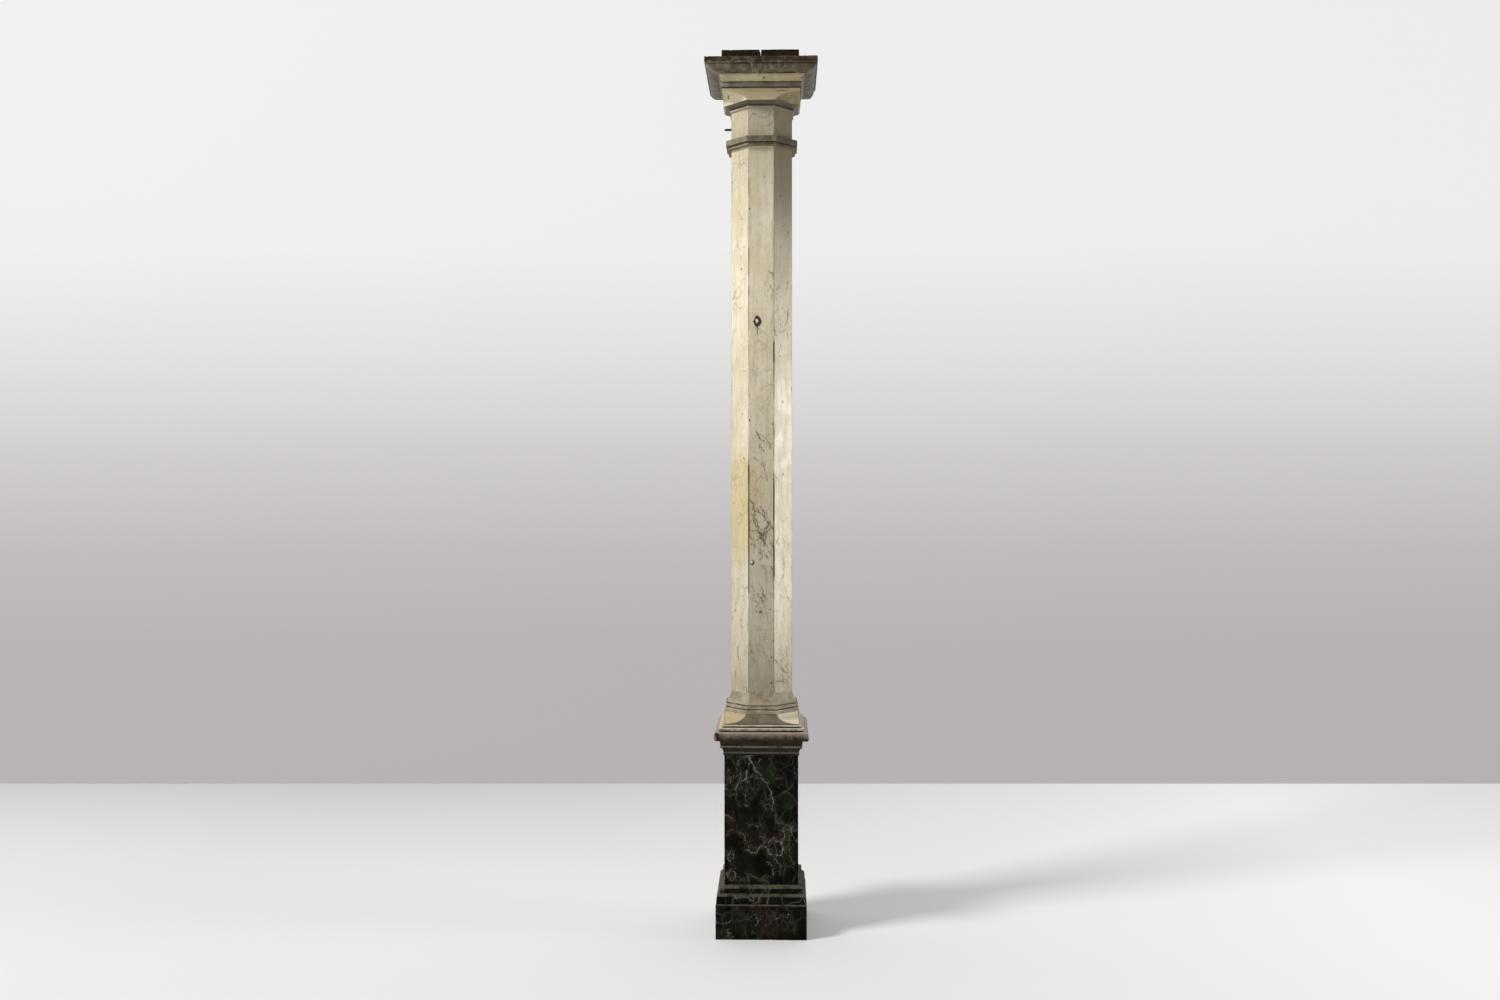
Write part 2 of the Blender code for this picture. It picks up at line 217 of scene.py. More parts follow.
def ring(half, sides, rounding, columns):
    """Points around a regular prism with softened arrises, and their distance from an arris."""
    half_angle = math.pi / sides
    rounding = min(rounding, half * 0.5)
    side = (half - rounding) * math.tan(half_angle)
    points = []
    from_arris = []
    for index in range(sides):
        middle = index * 2 * half_angle
        normal = np.array((math.cos(middle), math.sin(middle)))
        along = np.array((-normal[1], normal[0]))
        for t in columns:
            points.append(normal * half + along * side * t)
            from_arris.append(side * (1 - abs(t)))
        centre = normal * (half - rounding) + along * side
        for step in range(1, ROUNDING_STEPS):
            angle = middle + 2 * half_angle * step / ROUNDING_STEPS
            points.append(centre + rounding * np.array((math.cos(angle), math.sin(angle))))
            from_arris.append(0.0)
    return np.array(points), np.array(from_arris)


def eased_columns(length, spacing):
    """Places from -1 to 1 along a side, closer together towards its ends."""
    count = max(4, math.ceil(length / spacing))
    even = np.linspace(-1, 1, count + 1)
    eased = np.sin(even * math.pi / 2)
    return even * 0.82 + eased * 0.18


def grid_faces(rows, columns, closed_rows=False):
    """Quads between rows of points, each of them a closed loop."""
    faces = []
    count = rows if closed_rows else rows - 1
    for row in range(count):
        here, above = row * columns, (row + 1) % rows * columns
        for column in range(columns):
            following = (column + 1) % columns
            faces.append((here + column, here + following, above + following, above + column))
    return faces


def capped_faces(rows, columns):
    """Quads between loops of points, and a face over each end."""
    last = (rows - 1) * columns
    ends = [tuple(range(columns - 1, -1, -1)), tuple(range(last, last + columns))]
    return grid_faces(rows, columns) + ends


def make_mesh(name, points, faces, values, smooth_angle=SHARP_ANGLE):
    """A mesh with its own numbers at each point, which the finishes read as layers."""
    mesh = bpy.data.meshes.new(name)
    mesh.from_pydata(points.tolist(), [], faces)
    mesh.shade_smooth()
    mesh.set_sharp_from_angle(angle=smooth_angle)
    for key, numbers in values.items():
        layer = mesh.attributes.new(key, "FLOAT", "POINT")
        layer.data.foreach_set("value", np.asarray(numbers, np.float32))
    mesh.update()
    return mesh


def vertex_normals(points, faces):
    """The way each point of a mesh faces."""
    mesh = bpy.data.meshes.new("normals")
    mesh.from_pydata(points.tolist(), [], faces)
    mesh.update()
    numbers = np.zeros(len(points) * 3, np.float32)
    mesh.vertex_normals.foreach_get("vector", numbers)
    bpy.data.meshes.remove(mesh)
    return numbers.reshape(-1, 3).astype(float)


def worn(points, faces, edge, seed, wave=WAVE_DEPTH, chip=CHIP_DEPTH):
    """Old timber: slightly uneven faces, and arrises rubbed and chipped here and there."""
    normals = vertex_normals(points, faces)
    uneven = layered(points, 22, 3, seed) - 0.5
    rub = smooth(layered(points, 35, 2, seed + 11), 0.35, 0.8)
    bite = smooth(layered(points, 90, 2, seed + 23), 0.62, 0.82)
    depth = wave * 2 * uneven - edge * (0.3 * rub + bite) * chip
    return points + normals * depth[:, None]


def new_piece(name, mesh, material, slot, *nodes):
    piece = bpy.data.objects.new(name, mesh)
    bpy.context.scene.collection.objects.link(piece)
    mesh.materials.append(material)
    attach(piece, "root")
    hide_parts(*nodes)
    return piece


def swept(name, node, profile, sides, material, slot, seed, bore=None, rounding=ARRIS_ROUNDING,
          spacing=SPACING, corner=ARRIS_ROUNDING, shape=None, values=None, chip=CHIP_DEPTH):
    """A moulding carried around the column, solid or with a bore."""
    points = list(profile.points)
    if bore is None:
        inner = min(points[0][0], points[-1][0]) * CORE_SHARE
        points = [(inner, points[0][1])] + points + [(inner, points[-1][1])]
    else:
        points = [(bore, points[0][1])] + points + [(bore, points[-1][1])]
    outline = spaced(rounded(points, rounding), OUTLINE_SPACING if sides == OCTAGON else spacing)
    convex, hollow = turning(outline)
    widest = outline[:, 0].max()
    columns = eased_columns(2 * widest * math.tan(math.pi / sides), spacing)
    rows = []
    edges = []
    creases = []
    for (half, height), bulge, dip in zip(outline, convex, hollow):
        flat, from_arris = ring(half, sides, corner, columns)
        rows.append(np.column_stack([flat, np.full(len(flat), height)]))
        arris = np.exp(-(from_arris / EDGE_REACH) ** 2) * (1 - dip)
        edges.append(np.maximum(arris, bulge))
        creases.append(np.full(len(flat), dip))
    count = len(rows[0])
    points = np.concatenate(rows)
    edge, crease = np.concatenate(edges), np.concatenate(creases)
    if bore is None:
        faces = capped_faces(len(rows), count)
    else:
        faces = grid_faces(len(rows), count, closed_rows=True)
    moved = worn(points, faces, edge, seed, chip=chip)
    if shape:
        moved = shape(points, moved, edge)
    numbers = {"edge": edge, "crease": crease}
    if values:
        numbers.update(values(points))
    mesh = make_mesh(name, moved, faces, numbers)
    return new_piece(name, mesh, material, slot, node)


# Strokes painted on the faces, in metres across a face and up it

CELL = 0.001
VEIN_WIDTH = 0.0023           # from the middle of a stroke to where it has faded


class Canvas:
    """A face to paint on, from which every point of a mesh picks up its tone."""

    def __init__(self, low, high):
        self.low = np.array(low)
        size = np.ceil((np.array(high) - self.low) / CELL).astype(int) + 2
        self.tone = np.zeros(size)

    def window(self, low, high):
        """The cells between two corners, and their places."""
        first = np.clip(((low - self.low) / CELL).astype(int), 0, np.array(self.tone.shape) - 1)
        last = np.clip(((high - self.low) / CELL).astype(int) + 2, 1, self.tone.shape)
        across = self.low[0] + CELL * np.arange(first[0], last[0])[:, None]
        height = self.low[1] + CELL * np.arange(first[1], last[1])[None, :]
        return (slice(first[0], last[0]), slice(first[1], last[1])), across, height

    def stroke(self, line, strength):
        """A thin line, strongest along its middle."""
        line = [np.array(point, float) for point in line]
        for start, end in zip(line, line[1:]):
            area, across, height = self.window(np.minimum(start, end) - VEIN_WIDTH,
                                               np.maximum(start, end) + VEIN_WIDTH)
            run = end - start
            along = ((across - start[0]) * run[0] + (height - start[1]) * run[1])
            along = np.clip(along / max(run @ run, 1e-12), 0, 1)
            away = np.hypot(across - start[0] - along * run[0],
                            height - start[1] - along * run[1])
            here = self.tone[area]
            np.maximum(here, strength * np.clip(1 - away / VEIN_WIDTH, 0, 1), out=here)

    def blot(self, centre, radii, strength):
        """A soft oval patch."""
        centre, radii = np.array(centre), np.array(radii)
        area, across, height = self.window(centre - radii, centre + radii)
        away = np.hypot((across - centre[0]) / radii[0], (height - centre[1]) / radii[1])
        here = self.tone[area]
        np.maximum(here, strength * (1 - smooth(away, 0.2, 1.0)), out=here)

    def blurred(self, reach):
        """A copy in which the tones have spread out."""
        copy = Canvas(self.low, self.low)
        cells = max(1, int(reach / CELL))
        tone = self.tone
        for axis in (0, 1):
            for _ in range(2):
                padded = np.pad(tone, [(cells + 1, cells) if a == axis else (0, 0)
                                       for a in (0, 1)])
                total = np.cumsum(padded, axis=axis)
                upper = np.take(total, range(2 * cells + 1, total.shape[axis]), axis=axis)
                lower = np.take(total, range(0, total.shape[axis] - 2 * cells - 1), axis=axis)
                tone = (upper - lower) / (2 * cells + 1)
        copy.tone = tone
        return copy

    def at(self, across, height):
        """The tones at the given places, read between the cells."""
        spot = (np.column_stack([across, height]) - self.low) / CELL
        spot = np.clip(spot, 0, np.array(self.tone.shape) - 1.001)
        cell = spot.astype(int)
        part = spot - cell
        x, y = cell[:, 0], cell[:, 1]
        u, v = part[:, 0], part[:, 1]
        return (self.tone[x, y] * (1 - u) * (1 - v) + self.tone[x + 1, y] * u * (1 - v)
                + self.tone[x, y + 1] * (1 - u) * v + self.tone[x + 1, y + 1] * u * v)


def broken_up(line, random, jitter=0.16, levels=2):
    """The same line with a crackled, hand-painted course."""
    line = [np.array(point, float) for point in line]
    for _ in range(levels):
        finer = [line[0]]
        for start, end in zip(line, line[1:]):
            run = end - start
            aside = np.array((-run[1], run[0])) * random.normal(0, jitter)
            finer += [(start + end) / 2 + aside, end]
        line = finer
    return line


def wander(random, start, heading, length, curl=0.5, step=0.007):
    """A line that sets out in a direction and drifts from it."""
    line = [np.array(start, float)]
    turn = heading
    for _ in range(max(2, int(length / step))):
        turn = heading + 0.75 * (turn - heading) + random.normal(0, curl)
        line.append(line[-1] + step * np.array((math.cos(turn), math.sin(turn))))
    return line


def vein_with_twigs(canvas, line, random, strength, twigs=0.5, twig_length=0.022):
    """A broken vein, now strong and now faint, with finer twigs that leave it."""
    course = broken_up(line, random)
    tone = strength
    for start, end in zip(course, course[1:]):
        tone = np.clip(tone + random.normal(0, 0.13), strength * 0.35, strength * 1.2)
        canvas.stroke((start, end), tone)
        if random.random() < twigs * 0.3:
            run = end - start
            heading = math.atan2(run[1], run[0]) + random.choice((-1, 1)) * \
                random.uniform(0.4, 1.2)
            twig = wander(random, start, heading, twig_length * random.uniform(0.4, 1.4), 0.5,
                          0.004)
            canvas.stroke(broken_up(twig, random, 0.2, 1), tone * random.uniform(0.4, 0.75))


def around(points):
    """Which face of a square pier each point lies on, and its place across that face."""
    x, y = points[:, 0], points[:, 1]
    face = np.where(np.abs(x) > np.abs(y), np.where(x > 0, 1, 3), np.where(y > 0, 2, 0))
    across = np.choose(face, (x, y, -x, -y))
    return face, across


# Node helpers for the finishes

class Finish:
    """A paint or a bare surface, built from nodes."""

    def __init__(self, name):
        self.material = bpy.data.materials.new(name)
        self.material.use_nodes = True
        self.tree = self.material.node_tree
        self.surface = self.tree.nodes["Principled BSDF"]
        self.place = self.add("ShaderNodeTexCoord").outputs["Object"]
        self.heights = []

    def add(self, kind, **settings):
        node = self.tree.nodes.new(kind)
        for key, value in settings.items():
            setattr(node, key, value)
        return node

    def feed(self, socket, value):
        if isinstance(value, bpy.types.NodeSocket):
            self.tree.links.new(value, socket)
        elif isinstance(value, tuple) and len(value) == 3 and socket.type == "RGBA":
            socket.default_value = (*value, 1.0)
        else:
            socket.default_value = value

    def math(self, operation, a, b=0.0, clamp=False):
        node = self.add("ShaderNodeMath", operation=operation, use_clamp=clamp)
        self.feed(node.inputs[0], a)
        self.feed(node.inputs[1], b)
        return node.outputs[0]

    def times(self, a, b):
        return self.math("MULTIPLY", a, b)

    def plus(self, a, b):
        return self.math("ADD", a, b, clamp=True)

    def most(self, a, b):
        return self.math("MAXIMUM", a, b)

    def range(self, value, low, high, start=0.0, end=1.0):
        node = self.add("ShaderNodeMapRange", interpolation_type="SMOOTHSTEP")
        for socket, number in zip(node.inputs[:5], (value, low, high, start, end)):
            self.feed(socket, number)
        return node.outputs[0]

    def mix(self, a, b, factor):
        node = self.add("ShaderNodeMix", data_type="RGBA")
        self.feed(node.inputs["Factor"], factor)
        self.feed(node.inputs[6], a)
        self.feed(node.inputs[7], b)
        return node.outputs[2]

    def stretch(self, scale, offset=(0, 0, 0), turn=(0, 0, 0), place=None):
        node = self.add("ShaderNodeMapping")
        self.feed(node.inputs["Vector"], place or self.place)
        node.inputs["Location"].default_value = offset
        node.inputs["Rotation"].default_value = turn
        node.inputs["Scale"].default_value = scale
        return node.outputs[0]

    def noise(self, scale, detail=3.0, roughness=0.55, distortion=0.0, place=None):
        node = self.add("ShaderNodeTexNoise")
        self.feed(node.inputs["Vector"], place or self.place)
        node.inputs["Scale"].default_value = scale
        node.inputs["Detail"].default_value = detail
        node.inputs["Roughness"].default_value = roughness
        node.inputs["Distortion"].default_value = distortion
        return node.outputs[0]

    def bent(self, scale, amount, detail=3.0):
        """The place moved about by noise, so that what is drawn at it wanders."""
        source = self.add("ShaderNodeTexNoise")
        self.feed(source.inputs["Vector"], self.place)
        source.inputs["Scale"].default_value = scale
        source.inputs["Detail"].default_value = detail
        centred = self.add("ShaderNodeVectorMath", operation="SUBTRACT")
        self.feed(centred.inputs[0], source.outputs["Color"])
        centred.inputs[1].default_value = (0.5, 0.5, 0.5)
        sized = self.add("ShaderNodeVectorMath", operation="SCALE")
        self.feed(sized.inputs[0], centred.outputs[0])
        sized.inputs["Scale"].default_value = amount
        moved = self.add("ShaderNodeVectorMath", operation="ADD")
        self.feed(moved.inputs[0], self.place)
        self.feed(moved.inputs[1], sized.outputs[0])
        return moved.outputs[0]

    def cells(self, scale, place=None):
        """How far each point is from the lines of an irregular net."""
        node = self.add("ShaderNodeTexVoronoi", feature="DISTANCE_TO_EDGE")
        self.feed(node.inputs["Vector"], place or self.place)
        node.inputs["Scale"].default_value = scale
        return node.outputs["Distance"]

    def ridges(self, scale, width, detail=2.0, place=None, distortion=0.0):
        """Long wandering lines, where the noise crosses its middle value."""
        value = self.noise(scale, detail, 0.5, distortion, place)
        away = self.math("ABSOLUTE", self.math("SUBTRACT", value, 0.5))
        return self.range(away, 0.0, width, 1.0, 0.0)

    def layer(self, name):
        """The numbers that a mesh carries under this name."""
        node = self.add("ShaderNodeAttribute", attribute_name=name)
        return node.outputs["Fac"]

    def axes(self, place=None):
        node = self.add("ShaderNodeSeparateXYZ")
        self.feed(node.inputs[0], place or self.place)
        return node.outputs

    def facing_up(self):
        node = self.add("ShaderNodeNewGeometry")
        split = self.add("ShaderNodeSeparateXYZ")
        self.feed(split.inputs[0], node.outputs["Normal"])
        return split.outputs[2]

    def spot(self, centre, radii, place=None, soft=0.5):
        """A soft patch on the front half, at an (x, z) centre."""
        x, y, z = self.axes(place)
        across = self.math("DIVIDE", self.math("SUBTRACT", x, centre[0]), radii[0])
        along = self.math("DIVIDE", self.math("SUBTRACT", z, centre[1]), radii[1])
        squares = self.math("ADD", self.math("POWER", self.math("ABSOLUTE", across), 2.0),
                            self.math("POWER", self.math("ABSOLUTE", along), 2.0))
        away = self.math("SQRT", squares)
        patch = self.range(away, 1 - soft, 1.0, 1.0, 0.0)
        return self.times(patch, self.math("LESS_THAN", y, 0.0))

    def height(self, value, metres):
        """Relief for the bump, as a share of a real depth."""
        self.heights.append((value, metres))

    def reflect(self, level):
        """How strongly the surface mirrors its surroundings."""
        self.surface.inputs["Specular IOR Level"].default_value = level

    def done(self, colour, roughness):
        self.feed(self.surface.inputs["Base Color"], colour)
        self.feed(self.surface.inputs["Roughness"], roughness)
        normal = None
        for value, metres in self.heights:
            bump = self.add("ShaderNodeBump")
            bump.inputs["Strength"].default_value = 1.0
            bump.inputs["Distance"].default_value = metres
            self.feed(bump.inputs["Height"], value)
            if normal:
                self.feed(bump.inputs["Normal"], normal)
            normal = bump.outputs[0]
        if normal:
            self.feed(self.surface.inputs["Normal"], normal)
        return self.material


# Colours, linear
IVORY = (0.700, 0.640, 0.500)
CREAM = (0.600, 0.530, 0.375)
STRAW = (0.560, 0.450, 0.220)
SMOKE = (0.330, 0.300, 0.225)
VEIN_BROWN = (0.112, 0.078, 0.038)
GRIME_AND_SHADE = (0.130, 0.105, 0.065)
BARE_PINE = (0.300, 0.190, 0.095)
DEEP_BROWN = (0.030, 0.016, 0.009)
BLACK_GREEN = (0.0017, 0.0017, 0.0012)
MOSS = (0.0062, 0.0078, 0.0034)
RUSSET = (0.0105, 0.0068, 0.0036)
PALE_VEIN = (0.250, 0.262, 0.200)
DUST_AND_TOP_LIGHT = (0.128, 0.112, 0.078)
CHALK = (0.760, 0.710, 0.600)
FRESH_WOOD = (0.780, 0.720, 0.620)
PAINTED_SHADE_TONE = (0.150, 0.125, 0.080)
SMOKE_AND_SHADE = (0.235, 0.190, 0.102)
KNOT_RED = (0.034, 0.010, 0.006)
LEAF_GREEN = (0.0150, 0.0215, 0.0085)
WARM_BROWN = (0.030, 0.017, 0.009)
SOOT_BROWN = (0.0019, 0.0014, 0.0010)
UMBER = (0.0058, 0.0046, 0.0026)
DULL_VEIN = (0.180, 0.168, 0.124)
TAN_VEIN = (0.150, 0.122, 0.072)

LEVEL_STREAKS = (0.15, 0.15, 1.0)   # how a noise is squeezed into streaks that run level


def aged_cream(paint):
    """Cream ground with ivory clouds, smoky strokes along the grain and fine dark specks."""
    clouds = paint.range(paint.noise(5.0, 4, 0.6, 0.6), 0.38, 0.62)
    colour = paint.mix(CREAM, IVORY, clouds)
    along = paint.stretch((1, 1, 0.12))
    strokes = paint.range(paint.noise(62, 5, 0.72, 0.4, along), 0.44, 0.72)
    colour = paint.mix(colour, SMOKE, paint.times(strokes, 0.46))
    mottle = paint.range(paint.noise(32, 4, 0.7), 0.50, 0.80)
    colour = paint.mix(colour, STRAW, paint.times(mottle, 0.35))
    grit = paint.range(paint.noise(150, 4, 0.75), 0.50, 0.80)
    colour = paint.mix(colour, SMOKE, paint.times(grit, 0.50))
    pale = paint.range(paint.noise(120, 4, 0.75, place=paint.stretch((1, 1, 0.4), (3, 1, 4))),
                       0.54, 0.80)
    colour = paint.mix(colour, CHALK, paint.times(pale, 0.45))
    return colour, along


def specks(paint, colour, scale, share, tint, strength=0.8):
    """Small scattered dark marks of several sizes."""
    place = paint.bent(scale * 0.8, 0.35 / scale)
    node = paint.add("ShaderNodeTexVoronoi", feature="F1")
    paint.feed(node.inputs["Vector"], place)
    node.inputs["Scale"].default_value = scale
    chosen = paint.add("ShaderNodeSeparateColor")
    paint.feed(chosen.inputs[0], node.outputs["Color"])
    size = paint.range(chosen.outputs[0], 1 - share, 1.0, 0.0, 0.22)
    away = paint.math("SUBTRACT", size, node.outputs["Distance"])
    mark = paint.range(away, 0.0, 0.05)
    return paint.mix(colour, tint, paint.times(mark, strength))


def arris_wear(paint, colour, tint, low=0.50, high=0.62, scale=70, strength=1.0):
    """Paint lost along the arrises, in broken stretches."""
    edge = paint.layer("edge")
    broken = paint.noise(scale, 4, 0.65)
    reach = paint.plus(paint.times(edge, 0.42), paint.times(broken, 0.62))
    lost = paint.times(paint.range(reach, low + 0.22, high + 0.24), paint.range(edge, 0.1, 0.5))
    return paint.mix(colour, tint, paint.times(lost, strength)), lost


# Dirt and painted shade in the creases: darker where the outline is hollow
def crease_dirt_and_shade(paint, colour, tint, strength=0.85):
    crease = paint.layer("crease")
    uneven = paint.noise(60, 3, 0.6)
    dirt = paint.times(paint.range(crease, 0.08, 0.55), paint.range(uneven, 0.2, 0.55, 0.6, 1.0))
    return paint.mix(colour, tint, paint.times(dirt, strength))


def paint_relief(paint, along, grain=0.00010, pits=0.00012):
    """Brush marks over the grain of the wood, and a fine orange-peel surface."""
    paint.height(paint.noise(160, 4, 0.6, 0.2, along), grain)
    paint.height(paint.noise(420, 3, 0.6), pits * 0.5)
    paint.height(paint.noise(45, 3, 0.5), pits * 2.0)


def shaft_finish():
    paint = Finish("Shaft marbling")
    colour, along = aged_cream(paint)
    x, y, z = paint.axes()

    # Yellowed areas, the strongest on the left of the lower half
    wide = paint.bent(9, 0.09)
    yellowed = paint.range(paint.noise(2.4, 3, 0.55), 0.52, 0.70)
    colour = paint.mix(colour, STRAW, paint.times(yellowed, 0.30))
    stain = paint.spot((-0.080, 1.420), (0.075, 0.235), wide, 0.45)
    colour = paint.mix(colour, STRAW, paint.times(stain, 0.64))

    # Veins: a broken net of fine lines, and long ones that cross the faces
    wandering = paint.bent(14, 0.055, detail=4)
    net = paint.range(paint.cells(17, wandering), 0.0, 0.045, 1.0, 0.0)
    where = paint.range(paint.noise(3.1, 2, 0.5), 0.50, 0.64)
    broken = paint.range(paint.noise(42, 3, 0.6), 0.38, 0.60)
    net = paint.times(paint.times(net, where), broken)
    slanted = paint.stretch((1.0, 1.0, 0.45), turn=(0.0, 0.45, 0.0), place=paint.bent(6, 0.05))
    threads = paint.times(paint.ridges(11, 0.012, 3, slanted), paint.range(
        paint.noise(5, 2, 0.5, place=paint.stretch((1, 1, 1), (3.1, 0.7, 1.9))), 0.48, 0.60))
    colour = paint.mix(colour, VEIN_BROWN, paint.times(net, 0.50))
    colour = paint.mix(colour, VEIN_BROWN, paint.times(threads, 0.38))

    # The painted veins, and the faint strokes that follow the grain
    ragged = paint.times(paint.math("SUBTRACT", paint.noise(190, 4, 0.7), 0.5), 0.50)
    drawn = paint.math("ADD", paint.layer("vein"), ragged)
    line = paint.times(paint.range(drawn, 0.24, 0.58), paint.range(
        paint.layer("vein"), 0.05, 0.2))
    halo = paint.times(paint.layer("haze"), paint.range(
        paint.noise(60, 3, 0.6), 0.3, 0.7, 0.3, 1.3))
    colour = paint.mix(colour, SMOKE, paint.times(paint.math("MINIMUM", halo, 1.0), 0.48))
    colour = paint.mix(colour, VEIN_BROWN, paint.times(line, 0.92))
    strokes = paint.times(paint.range(paint.math("ADD", paint.layer("grain"), ragged),
                                      0.15, 0.65),
                          paint.range(paint.layer("grain"), 0.05, 0.2))
    colour = paint.mix(colour, SMOKE, paint.times(strokes, 0.58))

    colour = specks(paint, colour, 30, 0.10, DEEP_BROWN, 0.75)
    colour = specks(paint, colour, 95, 0.16, GRIME_AND_SHADE, 0.55)

    # Grime at the foot, and painted shade on the lower front, on the neck under the capital and
    # over the upper part
    low = paint.range(z, 0.76, 1.05, 1.0, 0.0)
    patchy = paint.range(paint.noise(16, 4, 0.6), 0.25, 0.75, 0.45, 1.0)
    colour = paint.mix(colour, GRIME_AND_SHADE, paint.times(paint.times(low, patchy), 0.40))
    # Painted shade: the front face is darker below 1.75 m, and darkest below 0.95 m
    in_front = paint.times(paint.math("LESS_THAN", paint.math("ABSOLUTE", x), FRONT_REACH),
                           paint.math("LESS_THAN", y, 0.0))
    front_shade = paint.times(in_front, paint.range(z, 0.95, 1.75, 1.0, 0.0))
    colour = paint.mix(colour, PAINTED_SHADE_TONE, paint.times(front_shade, 0.26))
    # Painted shade on the neck under the capital, and over the upper part, where the paint is
    # also browner
    neck = paint.range(z, 2.640, 2.660)
    colour = paint.mix(colour, GRIME_AND_SHADE, paint.times(neck, 0.24))
    colour = paint.mix(colour, GRIME_AND_SHADE, paint.times(paint.range(z, 2.30, 2.64, 0.0, 1.0), 0.22))

    colour, lost = arris_wear(paint, colour, BARE_PINE, 0.52, 0.62)
    soil = paint.layer("soil")
    colour = paint.mix(colour, DEEP_BROWN, paint.times(soil, 0.92))
    rust = paint.range(paint.layer("rust"), 0.05, 0.60)
    colour = paint.mix(colour, KNOT_RED, paint.times(rust, 0.97))
    pale = paint.layer("pale")
    colour = paint.mix(colour, FRESH_WOOD, pale)

    # Painted shade on the right above the upper light band, over some smoke-darkened paint
    shaded = paint.times(paint.range(x, 0.036, 0.046), paint.range(z, 2.22, 2.50))
    shaded = paint.times(shaded, paint.range(z, 2.62, 2.66, 0.74, 0.42))
    colour = paint.mix(colour, SMOKE_AND_SHADE, shaded)

    paint_relief(paint, along, 0.00014)
    paint.height(paint.times(paint.most(net, line), -1.0), 0.00010)
    rough = paint.range(paint.noise(24, 3, 0.6), 0.3, 0.7, 0.34, 0.52)
    rough = paint.mix(rough, (0.78, 0.78, 0.78), paint.most(lost, soil))
    return paint.done(colour, rough)


def marbling(name, ground, cloud, warm, vein, dust_and_light, drawn_layer=False, net_scale=13.0, net=0.55):
    """Dark marbling: a black-green ground, clouds, and pale veins in a net."""
    paint = Finish(name)
    colour = paint.mix(ground, cloud, paint.range(paint.noise(9, 5, 0.6, 1.2), 0.42, 0.66))
    colour = paint.mix(colour, warm, paint.times(
        paint.range(paint.noise(7, 4, 0.6, place=paint.stretch((1, 1, 1), (4.2, 1.1, 2.7))),
                    0.50, 0.66), 0.8))

    wandering = paint.bent(17, 0.060, detail=5)
    tall = paint.stretch((1.25, 1.25, 0.75), place=wandering)
    away = paint.cells(net_scale, tall)
    present = paint.range(paint.noise(11, 3, 0.6), 0.44, 0.60)
    thin = paint.times(paint.range(away, 0.0, 0.030, 1.0, 0.0), present)
    haze = paint.times(paint.range(away, 0.0, 0.16, 1.0, 0.0), present)
    small = paint.times(paint.range(paint.cells(net_scale * 2.6, paint.bent(38, 0.03)),
                                    0.0, 0.04, 1.0, 0.0),
                        paint.range(paint.noise(15, 3, 0.6, place=paint.stretch(
                            (1, 1, 1), (7.3, 2.2, 5.1))), 0.54, 0.66))
    strands = paint.times(paint.ridges(9, 0.010, 4, paint.stretch((1.3, 1.3, 0.5)), 0.8),
                          paint.range(paint.noise(6, 2, 0.5), 0.40, 0.56))
    faint = paint.mix(ground, vein, 0.17)
    colour = paint.mix(colour, faint, paint.times(haze, 0.55))
    colour = paint.mix(colour, faint, paint.times(small, 0.80))
    colour = paint.mix(colour, vein, paint.times(strands, net * 0.7))
    colour = paint.mix(colour, vein, paint.times(thin, net))

    if drawn_layer:
        green = paint.times(paint.layer("green"), paint.range(
            paint.noise(48, 4, 0.65), 0.30, 0.70, 0.35, 1.3))
        colour = paint.mix(colour, LEAF_GREEN, paint.math("MINIMUM", green, 1.0))
        brown = paint.times(paint.layer("brown"), paint.range(
            paint.noise(40, 4, 0.65), 0.30, 0.70, 0.30, 1.2))
        colour = paint.mix(colour, WARM_BROWN, paint.math("MINIMUM", brown, 1.0))
        haze = paint.times(paint.layer("haze"), paint.range(
            paint.noise(70, 4, 0.7), 0.32, 0.68, 0.05, 0.75))
        colour = paint.mix(colour, paint.mix(cloud, vein, 0.14), haze)
        near = paint.range(paint.layer("haze"), 0.02, 0.30)
        fine_net = paint.cells(46, paint.stretch((1.3, 1.3, 0.7), place=paint.bent(30, 0.035)))
        fine_net = paint.times(paint.range(fine_net, 0.0, 0.055, 1.0, 0.0), near)
        colour = paint.mix(colour, vein, paint.times(fine_net, 0.28))
        rough_edge = paint.times(paint.math("SUBTRACT", paint.noise(170, 4, 0.7), 0.5), 0.45)
        drawn = paint.math("ADD", paint.layer("vein"), rough_edge)
        line = paint.times(paint.range(drawn, 0.43, 0.67), paint.range(
            paint.layer("vein"), 0.05, 0.2))
        tint = paint.mix(vein, TAN_VEIN, paint.range(
            paint.noise(13, 3, 0.6), 0.52, 0.64))
        colour = paint.mix(colour, tint, line)

    # Dust and painted light on what looks up, wear along the arrises, and dirt and painted shade
    # in the creases
    up = paint.range(paint.facing_up(), 0.25, 0.75)
    dust_and_top_light = paint.times(up, paint.range(paint.noise(34, 4, 0.65), 0.32, 0.58, 0.25, 1.0))
    colour = paint.mix(colour, dust_and_light, paint.times(dust_and_top_light, 0.88))
    colour, lost = arris_wear(paint, colour, paint.mix(dust_and_light, BARE_PINE, 0.35), 0.46, 0.60, 60)
    colour = crease_dirt_and_shade(paint, colour, BLACK_GREEN, 0.7)

    grain = paint.stretch(LEVEL_STREAKS)
    paint_relief(paint, grain, 0.00010, 0.00010)
    paint.height(thin, 0.00006)
    rough = paint.range(paint.noise(26, 3, 0.6), 0.3, 0.7, 0.34, 0.50)
    rough = paint.mix(rough, (0.7, 0.7, 0.7), paint.most(lost, paint.times(dust_and_top_light, 0.6)))
    paint.reflect(0.05)
    return paint.done(colour, rough)


